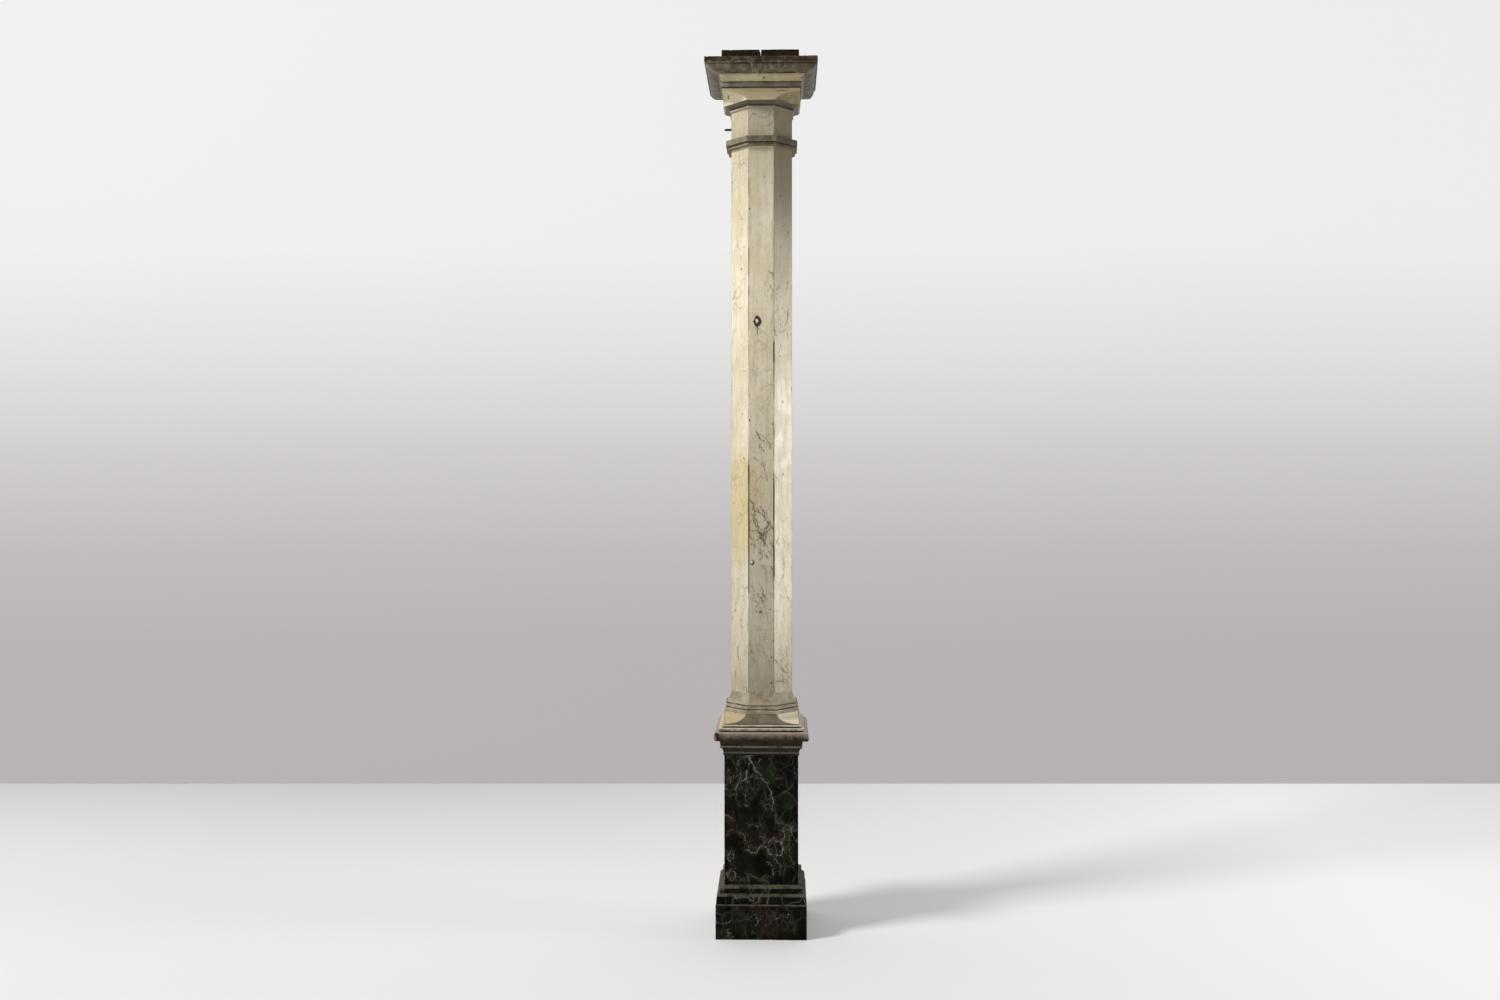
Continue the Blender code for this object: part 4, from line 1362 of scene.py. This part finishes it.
def opening(index, height, before):
    """How far a stave stands back from the joint before or after it, at each height."""
    neighbour = (index - 2) % OCTAGON + 1 if before else index % OCTAGON + 1
    pair = tuple(sorted((index, neighbour)))
    pull = np.zeros(len(height))
    for arris, foot, top, share in OPEN_STRETCHES:
        if arris == pair:
            ends = smooth(height, foot, foot + 0.05) * (1 - smooth(height, top - 0.05, top))
            pull = np.maximum(pull, ends * share)
    spots = np.column_stack([np.zeros(len(height)), np.full(len(height), sum(pair)), height])
    ragged = 1.0 + 0.7 * (layered(spots, 30, 2, 31) - 0.5)
    hair = 0.12 * smooth(layered(spots, 6, 2, 37), 0.5, 0.7)
    return CLOSED_JOINT + OPEN_JOINT * (pull * ragged + hair)


def stave_points(index, heights, columns):
    """The outer face, mitred sides and inner face of a stave, row by row."""
    half_angle = math.pi / OCTAGON
    outer_side = SHAFT_HALF * math.tan(half_angle)
    inner = SHAFT_HALF - STAVE_THICKNESS
    inner_side = inner * math.tan(half_angle)
    cos, sin = math.cos(half_angle), math.sin(half_angle)
    before = opening(index, heights, True)
    after = opening(index, heights, False)
    soft = 0.0006
    turn = (index - 1) * 2 * half_angle
    normal = np.array((math.cos(turn), math.sin(turn), 0))
    along = np.array((-math.sin(turn), math.cos(turn), 0))
    rows = []
    across_all = []
    for height, pull_before, pull_after in zip(heights, before, after):
        low = -outer_side + pull_before / cos
        high = outer_side - pull_after / cos
        section = []
        for t in columns:
            section.append((SHAFT_HALF, low + soft + (high - low - 2 * soft) * (t + 1) / 2))
        for share in (0.25, 0.6, 1.0):
            section.append((SHAFT_HALF - soft * share ** 1.5, high - soft * (1 - share) ** 1.2
                            - soft * share * sin * 0.4))
        for share in (0.25, 1.0):
            depth = STAVE_THICKNESS * share
            section.append((SHAFT_HALF - depth, high - depth * math.tan(half_angle)))
        for share in (1.0, 0.25):
            depth = STAVE_THICKNESS * share
            section.append((SHAFT_HALF - depth, low + depth * math.tan(half_angle)))
        for share in (1.0, 0.6, 0.25):
            section.append((SHAFT_HALF - soft * share ** 1.5, low + soft * (1 - share) ** 1.2
                            + soft * share * sin * 0.4))
        section = np.array(section)
        place = section[:, :1] * normal + section[:, 1:] * along
        place[:, 2] = height
        rows.append(place)
        across_all.append(section[:, 1])
    return rows, np.concatenate(across_all), normal


def build_stave(index, material, slot):
    node = f"stave_{index}"
    low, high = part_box(node)
    front = index == FRONT_STAVE
    seen = index in (6, 7, 8)
    heights = np.linspace(low.z, high.z, 940 if front else 740 if seen else 420)
    if front:
        near_knot = np.linspace(KNOT[1] - 0.024, KNOT[1] + 0.024, 40)
        near_chip = np.linspace(CHIP[1] - 0.016, CHIP[1] + 0.016, 28)
        heights = np.unique(np.concatenate([heights, near_knot, near_chip]))
    columns = eased_columns(0.0845, 0.0022 if front else 0.0026 if seen else 0.0042)
    near_joint = 1 - np.array((0.0007, 0.0015, 0.0028)) / 0.0422
    columns = np.unique(np.concatenate([columns, near_joint, -near_joint]))
    rows, across, normal = stave_points(index, heights, columns)
    count = len(rows[0])
    points = np.concatenate(rows)
    faces = capped_faces(len(rows), count)
    side = SHAFT_HALF * math.tan(math.pi / OCTAGON)
    outside = points @ normal > SHAFT_HALF - 0.002
    edge = np.exp(-((side - np.abs(across)) / EDGE_REACH) ** 2) * outside
    height = points[:, 2]

    # Faces hollowed by the plane, arrises rubbed, small bites out of them
    swell = layered(points * np.array((1, 1, 0.15)), 14, 3, index) - 0.5
    bite = smooth(layered(points, 75, 2, 40 + index), 0.66, 0.84) * edge
    depth = 0.0007 * swell * outside - 0.0016 * bite
    soil = smooth(layered(points, 75, 2, 40 + index), 0.74, 0.86) * edge * 0.8
    pale = np.zeros(len(points))
    rust = np.zeros(len(points))

    # Dirt in the joints: a thin broken line along each arris, strong where a joint gapes
    for before, sign in ((True, 1), (False, -1)):
        gape = opening(index, height, before) / OPEN_JOINT
        from_joint = side + sign * across
        dark = smooth(gape, 0.20, 0.65)
        joint = (index - 2) % OCTAGON + 1 if before else index
        broken = smooth(layered(points * np.array((1, 1, 0.25)), 60, 3, 90 + joint), 0.40, 0.62)
        line = 1 - smooth(from_joint, 0.0006 + 0.0014 * dark, 0.0019 + 0.0022 * dark)
        tone = np.maximum(0.24 + 0.52 * broken, dark * (0.66 + 0.34 * broken))
        soil = np.maximum(soil, line * outside * tone)

    for stave, x, z, radius in MARKS:
        if stave == index:
            away = np.hypot(across - x, (height - z) * 0.8)
            soil = np.maximum(soil, (1 - smooth(away, radius * 0.4, radius * 1.3)) * outside)

    if front:
        for centre, radii, sunk, plug in ((KNOT, KNOT_RADII, 0.0032, 0.31),
                                          (CHIP, CHIP_RADII, 0.0014, 0.50)):
            x = (points[:, 0] - centre[0]) / radii[0]
            z = (height - centre[1]) / radii[1]
            ragged = 0.50 * (layered(points, 110, 2, 61) - 0.5)
            away = (np.abs(x) ** 1.4 + np.abs(z) ** 1.4) ** (1 / 1.4) + ragged
            off_centre = np.hypot(x + 0.26, z - 0.12) + ragged
            inside = 1 - smooth(away, 0.78, 1.02)
            core = 1 - smooth(off_centre, plug * 0.65, plug * 1.15)
            depth -= sunk * inside * (1 - 0.75 * core) * outside
            rust = np.maximum(rust, inside * (1 - core) * outside)
            pale = np.maximum(pale, core * outside)
        tail = 1 - smooth(np.abs(points[:, 0] - KNOT[0] - 0.0008 * np.sin(height * 260)),
                          0.0008, 0.0022)
        tail = tail * smooth(height, KNOT[1] - 0.058, KNOT[1] - 0.035)
        tail = tail * (1 - smooth(height, KNOT[1] - 0.014, KNOT[1] - 0.010)) * outside
        depth -= 0.0010 * tail
        rust = np.maximum(rust, tail * 0.8)
    lines, grain = shaft_canvas(index, low.z, high.z)
    haze = lines.blurred(0.004)
    moved = points + normal * depth[:, None]
    mesh = make_mesh(f"Stave_{index}", moved, faces,
                     {"edge": edge, "soil": soil, "pale": pale, "rust": rust,
                      "vein": lines.at(across, height) * outside,
                      "haze": haze.at(across, height) * outside * 1.6,
                      "grain": grain.at(across, height) * outside}, math.radians(32))
    new_piece(f"Stave_{index}", mesh, material, slot, node)


def build_pin():
    """A hand-made nail: square-ish, tapering, a little bent."""
    low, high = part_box("iron_pin")
    middle = (low + high) / 2
    radius = (high.z - low.z) / 2 * 1.40
    rows = []
    sides = 20
    stations = np.linspace(0, 1, 30)
    for t in stations:
        x = low.x + (high.x - low.x) * t
        taper = 1.04 - 0.10 * (1 - t)
        cap = min(1.0, 0.45 + 12 * t)
        bend = 0.0006 * math.sin(t * 2.4)
        angle = np.linspace(0, 2 * math.pi, sides, endpoint=False)
        blunt = 1 / np.maximum(np.abs(np.cos(angle)), np.abs(np.sin(angle))) ** 0.45
        r = radius * taper * cap * blunt * 0.98
        rows.append(np.column_stack([np.full(sides, x), middle.y + r * np.cos(angle),
                                     middle.z + bend + r * np.sin(angle)]))
    points = np.concatenate(rows)
    faces = capped_faces(len(rows), sides)
    points = points + (layered(points, 500, 2, 71)[:, None] - 0.5) * 0.0004
    zero = np.zeros(len(points))
    mesh = make_mesh("Iron_pin", points, faces, {"edge": zero, "crease": zero})
    new_piece("Iron_pin", mesh, iron_finish(), "iron", "iron_pin")


def build_shaft():
    shaft_paint = shaft_finish()
    for index in range(1, OCTAGON + 1):
        build_stave(index, shaft_paint, "shaft_paint")
    build_pin()
    bore = SHAFT_HALF + JOINT_GAP

    # The ring takes painted light on what looks up
    ring_paint, colour, rough = grey_paint(
        "Base ring paint", (0.265, 0.222, 0.155), (0.450, 0.392, 0.290), (0.300, 0.225, 0.140),
        LEVEL_STREAKS, top_light_tint=(0.480, 0.425, 0.320), wear=(0.640, 0.580, 0.460),
        wear_low=0.44)
    ring_paint.done(colour, rough)
    low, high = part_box("base_ring")
    foot = Profile(high.x, low.z)
    foot.move(0, 0.0132 - QUIRK_HEIGHT).quirk(-0.0044)
    foot.move(0, 0.0134 - QUIRK_HEIGHT).quirk(-0.0010)
    foot.curve(-(foot.half - bore - 0.0010), high.z - foot.top, False)
    swept("Base_ring", "base_ring", foot, OCTAGON, ring_paint.material, "ring_paint", 19,
          bore=bore)

    # The ring takes painted light on what looks up
    neck_paint, colour, rough = grey_paint(
        "Neck ring paint", (0.092, 0.078, 0.050), (0.200, 0.172, 0.118), (0.150, 0.106, 0.058),
        top_light_tint=(0.260, 0.230, 0.170), wear=(0.330, 0.290, 0.215), wear_low=0.47)
    neck_paint.done(colour, rough)
    low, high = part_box("neck_ring")
    neck = Profile(SHAFT_HALF + 0.0112, low.z)
    neck.move(0, 0.0100).quirk(high.x - SHAFT_HALF - 0.0112)
    neck.move(0, high.z - neck.top)
    swept("Neck_ring", "neck_ring", neck, OCTAGON, neck_paint.material, "neck_ring_paint", 23,
          bore=bore)

    head_paint, colour, rough = grey_paint(
        "Capital moulding paint", (0.105, 0.098, 0.070), (0.170, 0.158, 0.118),
        (0.120, 0.090, 0.055), wear=(0.260, 0.230, 0.170), wear_low=0.50)
    # A painted highlight: the fillet at the foot is painted lighter
    below = head_paint.layer("below")
    colour = head_paint.mix(colour, (0.360, 0.290, 0.215), head_paint.times(below, 0.85))
    head_paint.done(colour, rough)
    low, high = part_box("capital_moulding")
    head = Profile(SHAFT_HALF + 0.0050, low.z)
    head.move(0, 0.0072).quirk()
    head.curve(0.0154, high.z - head.top - 0.0016, True).move(0, 0.0016)

    def fillet(points):
        return {"below": 1 - smooth(points[:, 2], low.z + 0.0068, low.z + 0.0078)}
    swept("Capital_moulding", "capital_moulding", head, OCTAGON, head_paint.material,
          "capital_grey", 29, bore=bore, values=fillet)


# Pieces of the capital

def board(name, node, material, slot, seed, facing, lean):
    """A rough board with soft, broken arrises, whose foot leans towards its neighbour."""
    low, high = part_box(node)
    middle = (low + high) / 2
    size = high - low
    spacing = 0.005
    outline = Profile(1.0, 0.0)
    half_x, half_y = size.x / 2, size.y / 2
    rows = []
    edges = []
    shrink = [0.15, 0.45, 0.7, 0.85, 0.94, 0.98]
    heights = [low.z] * len(shrink) + list(np.linspace(low.z, high.z, 10)) + \
        [high.z] * len(shrink)
    widths = shrink + [1.0] * 10 + list(reversed(shrink))
    columns = eased_columns(size.y, spacing)
    for height, width in zip(heights, widths):
        flat, from_arris = ring(1.0, SQUARE, 0.012, columns)
        flat = flat * width * np.array((half_x, half_y))
        rows.append(np.column_stack([flat + np.array((middle.x, middle.y)),
                                     np.full(len(flat), height)]))
        near_end = 1.0 if width == 1.0 and height in (low.z, high.z) else 0.0
        edges.append(np.maximum(np.exp(-(from_arris * 0.1 / EDGE_REACH) ** 2) *
                                (width == 1.0), near_end))
    count = len(rows[0])
    points = np.concatenate(rows)
    edge = np.concatenate(edges)
    faces = capped_faces(len(rows), count)
    moved = worn(points, faces, edge, seed, wave=0.0006, chip=0.0012)
    rise = np.clip((points[:, 2] - low.z) / size.z, 0, 1)
    share = np.clip((points[:, 0] - middle.x) * facing / half_x, 0, 1)
    moved[:, 0] += facing * share ** 6 * lean * (1 - smooth(rise, 0.62, 1.0))
    mesh = make_mesh(name, moved, faces, {"edge": edge, "crease": np.zeros(len(points))})
    new_piece(name, mesh, material, slot, node)


# Where the broken corner of the abacus starts on its right side, and the way it faces
BROKEN_FROM = (0.185, 0.124)
BROKEN_NORMAL = np.array((0.936, 0.353))


def build_capital():
    cream, colour, rough = block_finish(
        "Capital block paint", (0.440, 0.378, 0.245), (0.600, 0.525, 0.375),
        (0.255, 0.210, 0.120), (0.500, 0.385, 0.205))
    rust = cream.spot((0.066, 2.7930), (0.032, 0.0040), cream.bent(40, 0.012), 0.8)
    colour = cream.mix(colour, (0.230, 0.120, 0.060), cream.times(rust, 0.75))
    nail = cream.spot((-0.110, 2.7830), (0.0045, 0.0045), None, 0.6)
    colour = cream.mix(colour, DEEP_BROWN, cream.times(nail, 0.8))
    cream.done(colour, rough)
    stopped_block("Capital_block", "capital_block", cream.material, "capital_cream", 31,
                  0.1240, 0.0265, False, False)

    grey, colour, rough = grey_paint(
        "Capital band paint", (0.155, 0.138, 0.096), (0.290, 0.264, 0.196),
        (0.185, 0.138, 0.080), LEVEL_STREAKS, wear=(0.260, 0.225, 0.160), wear_low=0.50)
    grey.done(colour, rough)
    low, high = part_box("capital_band")
    band = Profile(high.x - QUIRK_DEPTH, low.z)
    band.move(0, QUIRK_HEIGHT).move(QUIRK_DEPTH, 0)
    band.move(0, high.z - low.z - 2 * QUIRK_HEIGHT).move(-QUIRK_DEPTH, 0)
    band.move(0, QUIRK_HEIGHT)
    swept("Capital_band", "capital_band", band, SQUARE, grey.material, "capital_grey", 37)

    bed_paint, colour, rough = grey_paint(
        "Bed moulding paint", (0.468, 0.393, 0.228), (0.615, 0.533, 0.341),
        (0.500, 0.350, 0.190), LEVEL_STREAKS, wear=(0.480, 0.420, 0.290),
        wear_low=0.48)
    knot = bed_paint.spot((0.0080, 2.8360), (0.0055, 0.0065), bed_paint.bent(60, 0.006), 0.7)
    colour = bed_paint.mix(colour, (0.060, 0.048, 0.022), bed_paint.times(knot, 0.85))
    knot = bed_paint.spot((0.1340, 2.8330), (0.0055, 0.0065), bed_paint.bent(60, 0.006), 0.7)
    colour = bed_paint.mix(colour, (0.100, 0.085, 0.040), bed_paint.times(knot, 0.8))
    # Painted shade: the side faces are painted greyer than the cream front
    colour = bed_paint.mix(colour, (0.170, 0.158, 0.110), bed_paint.times(
        bed_paint.layer("sideways"), 0.85))
    bed_paint.done(colour, rough)
    low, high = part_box("bed_moulding")
    bed = Profile(0.1319, low.z)
    bed.move(0, 0.0014).curve(high.x - 0.1319, high.z - low.z - 0.0014, True)
    swept("Bed_moulding", "bed_moulding", bed, SQUARE, bed_paint.material, "capital_cream", 41,
          values=lambda points: {"sideways": (np.abs(points[:, 0]) > np.abs(points[:, 1]) + 1e-4)
                                 .astype(float)})

    abacus_paint, colour, rough = grey_paint(
        "Abacus paint", (0.054, 0.050, 0.030), (0.190, 0.168, 0.108), (0.105, 0.076, 0.042),
        (1.0, 1.0, 0.14), wear=(0.230, 0.205, 0.150), wear_low=0.49)
    low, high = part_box("abacus")
    x, y, z = abacus_paint.axes()
    sway = abacus_paint.times(
        abacus_paint.math("SUBTRACT", abacus_paint.noise(22, 4, 0.7), 0.5), 0.030)
    strips = abacus_paint.noise(55, 3, 0.7, 0.2, abacus_paint.stretch((1.0, 1.0, 0.10)))
    colour = abacus_paint.mix(colour, (0.245, 0.222, 0.152), abacus_paint.times(
        abacus_paint.range(strips, 0.52, 0.66), 0.60))
    colour = abacus_paint.mix(colour, (0.030, 0.031, 0.021), abacus_paint.times(
        abacus_paint.range(strips, 0.46, 0.34), 0.65))
    bare = abacus_paint.range(abacus_paint.math("ADD", z, sway), high.z - 0.0185,
                              high.z - 0.0145)
    reddish = abacus_paint.mix(
        (0.098, 0.052, 0.033), (0.024, 0.015, 0.010),
        abacus_paint.range(abacus_paint.noise(60, 4, 0.7, place=abacus_paint.stretch(
            (0.3, 0.3, 1.0))), 0.44, 0.60))
    reddish = abacus_paint.mix(reddish, (0.120, 0.104, 0.076), abacus_paint.times(
        abacus_paint.range(abacus_paint.noise(24, 4, 0.7), 0.50, 0.62), 0.70))
    reddish = abacus_paint.mix(reddish, (0.016, 0.006, 0.004), abacus_paint.times(
        abacus_paint.range(x, -0.120, -0.165), 0.85))
    colour = abacus_paint.mix(colour, reddish, abacus_paint.times(bare, 0.95))
    colour = abacus_paint.mix(colour, abacus_paint.mix(
        (0.060, 0.047, 0.033), (0.135, 0.112, 0.082), abacus_paint.range(
            abacus_paint.noise(38, 5, 0.7, 0.3, abacus_paint.stretch((0.2, 1.0, 1.0))),
            0.38, 0.64)), abacus_paint.times(
        abacus_paint.range(abacus_paint.facing_up(), 0.55, 0.85), 0.92))
    # A painted highlight along the front left mitre
    mitre = abacus_paint.times(abacus_paint.layer("edge"), abacus_paint.range(
        x, -0.080, -0.110))
    mitre = abacus_paint.times(mitre, abacus_paint.range(z, high.z - 0.018, high.z - 0.024))
    colour = abacus_paint.mix(colour, (0.340, 0.315, 0.240), abacus_paint.times(
        mitre, abacus_paint.range(y, -0.080, -0.110)))
    abacus_paint.done(colour, rough)
    top = Profile(0.1445 - QUIRK_DEPTH, low.z)
    top.move(0, QUIRK_HEIGHT).move(QUIRK_DEPTH, 0)
    top.curve(0.0360, 0.0238 - QUIRK_HEIGHT, False)
    top.move(high.x - top.half, 0).move(0, high.z - top.top)
    fillet_foot = top.points[-3][1]

    def broken(points, moved, edge):
        """The right back corner is broken off, most of all at the fillet's underside."""
        away = np.column_stack([points[:, 0] - BROKEN_FROM[0], points[:, 1] - BROKEN_FROM[1]])
        beyond = away @ BROKEN_NORMAL + 0.004 * (layered(points, 60, 3, 57) - 0.5)
        rising = smooth(points[:, 2], fillet_foot, high.z)
        beyond = np.clip(beyond - 0.016 * rising, 0, None)
        return moved - np.column_stack([beyond[:, None] * BROKEN_NORMAL, np.zeros(len(points))])
    swept("Abacus", "abacus", top, SQUARE, abacus_paint.material, "abacus_paint", 43,
          chip=0.0022, shape=broken)

    bare_wood = wood_finish()
    board("Top_board_left", "top_board_left", bare_wood, "bare_wood", 47, 1, 0.0044)
    board("Top_board_right", "top_board_right", bare_wood, "bare_wood", 53, -1, 0.0)


# Picture: camera, floor, backdrop and lights

CAMERA_PLACE = (0.0685, -4.386, 1.493)
CAMERA_YAW = math.radians(1.42)
LENS = 30.99
SENSOR = 36.0
SHIFT_Y = -0.010
WALL_DISTANCE = 6.456         # from the camera, which it faces squarely
STAGE_SIZE = 24.0
WALL_TOP = 3.0
# The backdrop's own glow from the floor up: painted light, brighter towards the top
WALL_TONES = (
    (0.00, (0.440, 0.418, 0.423)),
    (0.70, (0.440, 0.418, 0.423)),
    (1.17, (0.492, 0.468, 0.474)),
    (1.67, (0.595, 0.570, 0.576)),
    (1.92, (0.660, 0.650, 0.652)),
    (2.17, (0.715, 0.715, 0.715)),
    (2.67, (0.812, 0.812, 0.812)),
    (3.00, (0.816, 0.816, 0.816)),
)


def build_camera():
    data = bpy.data.cameras.new("Camera")
    data.lens = LENS
    data.sensor_width = SENSOR
    data.shift_y = SHIFT_Y
    camera = bpy.data.objects.new("Camera", data)
    bpy.context.scene.collection.objects.link(camera)
    camera.location = CAMERA_PLACE
    camera.rotation_euler = (math.pi / 2, 0, CAMERA_YAW)
    bpy.context.scene.camera = camera


def stage_paint(name):
    """A finish that keeps an even tone: part of its light is its own."""
    paint = Finish(name)
    glow = paint.surface.inputs["Emission Color"]
    paint.surface.inputs["Emission Strength"].default_value = 1.0
    return paint, glow


def stage_sheet(name, corners, material):
    mesh = bpy.data.meshes.new(name)
    mesh.from_pydata(corners, [], [(0, 1, 2, 3)])
    mesh.materials.append(material)
    sheet = bpy.data.objects.new(name, mesh)
    bpy.context.scene.collection.objects.link(sheet)


def build_stage():
    half = STAGE_SIZE / 2
    paint, glow = stage_paint("Floor")
    grey = paint.mix((0.755, 0.755, 0.755), (0.765, 0.765, 0.765), paint.noise(3, 2))
    x, y, z = paint.axes()
    across = paint.math("ADD", paint.times(x, 0.22), 0.5, clamp=True)
    across = paint.math("POWER", across, 1.4)
    near = paint.mix((0.012, 0.014, 0.020), (0.422, 0.425, 0.431), across)

    # The far floor, which the lights don't reach and only other views show, stays pale
    away = paint.math("MAXIMUM", paint.math("ABSOLUTE", x), paint.math("ABSOLUTE", y))
    paint.feed(glow, paint.mix(near, (0.600, 0.600, 0.610), paint.range(away, 4.6, 9.0)))
    stage_sheet("Floor", [(-half, -half, 0), (half, -half, 0), (half, half, 0),
                          (-half, half, 0)], paint.done(grey, 0.9))

    paint, glow = stage_paint("Backdrop")
    x, y, z = paint.axes()
    ramp = paint.add("ShaderNodeValToRGB")
    paint.feed(ramp.inputs[0], paint.math("DIVIDE", z, WALL_TOP))
    stops = ramp.color_ramp.elements
    for index, (place, tone) in enumerate(WALL_TONES):
        ends = {0: stops[0], len(WALL_TONES) - 1: stops[-1]}
        stop = ends[index] if index in ends else stops.new(place / WALL_TOP)
        stop.color = (*tone, 1.0)
    paint.feed(glow, ramp.outputs[0])
    paint.reflect(0.0)
    material = paint.done((0.05, 0.05, 0.05), 0.95)
    behind = paint.add("ShaderNodeNewGeometry").outputs["Backfacing"]
    clear = paint.add("ShaderNodeBsdfTransparent")
    choose = paint.add("ShaderNodeMixShader")
    paint.feed(choose.inputs[0], behind)
    paint.feed(choose.inputs[1], paint.surface.outputs[0])
    paint.feed(choose.inputs[2], clear.outputs[0])
    paint.feed(paint.tree.nodes["Material Output"].inputs["Surface"], choose.outputs[0])
    ahead = Vector((-math.sin(CAMERA_YAW), math.cos(CAMERA_YAW), 0))
    aside = Vector((math.cos(CAMERA_YAW), math.sin(CAMERA_YAW), 0)) * half
    foot = Vector((CAMERA_PLACE[0], CAMERA_PLACE[1], 0)) + ahead * WALL_DISTANCE
    rise = Vector((0, 0, half))
    stage_sheet("Backdrop", [foot - aside, foot + aside, foot + aside + rise,
                             foot - aside + rise], material)


def add_light(name, place, target, width, height, power, colour, spread=180):
    data = bpy.data.lights.new(name, "AREA")
    data.shape = "RECTANGLE"
    data.size = width
    data.size_y = height
    data.energy = power
    data.color = colour
    data.spread = math.radians(spread)
    lamp = bpy.data.objects.new(name, data)
    bpy.context.scene.collection.objects.link(lamp)
    lamp.location = place
    direction = Vector(target) - Vector(place)
    lamp.rotation_euler = direction.to_track_quat("-Z", "Y").to_euler()


def build_lights():
    warm = (1.0, 0.980, 0.945)
    add_light("Key light", (-5.0, -2.4, 6.2), (0, 0, 1.0), 1.5, 1.5, 450, warm)
    add_light("Upper light", (-1.6, -1.9, 2.45), (0, 0, 2.15), 0.8, 0.7, 2.7, warm, 60)
    add_light("Right light", (1.9, -0.15, 1.62), (0, 0, 1.44), 0.5, 1.3, 5.0, warm, 70)
    world = bpy.data.worlds.new("Studio")
    world.use_nodes = True
    bpy.context.scene.world = world
    tree = world.node_tree
    fill = tree.nodes["Background"]
    fill.inputs["Color"].default_value = (1.0, 1.0, 1.0, 1.0)
    fill.inputs["Strength"].default_value = 0.08

    # The open sides of the studio, where a view meets no backdrop, look as grey as it does
    seen = tree.nodes.new("ShaderNodeBackground")
    seen.inputs["Color"].default_value = (0.520, 0.500, 0.505, 1.0)
    choose = tree.nodes.new("ShaderNodeMixShader")
    direct = tree.nodes.new("ShaderNodeLightPath").outputs["Is Camera Ray"]
    tree.links.new(direct, choose.inputs[0])
    tree.links.new(fill.outputs[0], choose.inputs[1])
    tree.links.new(seen.outputs[0], choose.inputs[2])
    tree.links.new(choose.outputs[0], tree.nodes["World Output"].inputs["Surface"])
    bpy.context.scene.view_settings.view_transform = "Standard"


build_pedestal()
build_base()
build_shaft()
build_capital()
build_camera()
build_stage()
build_lights()
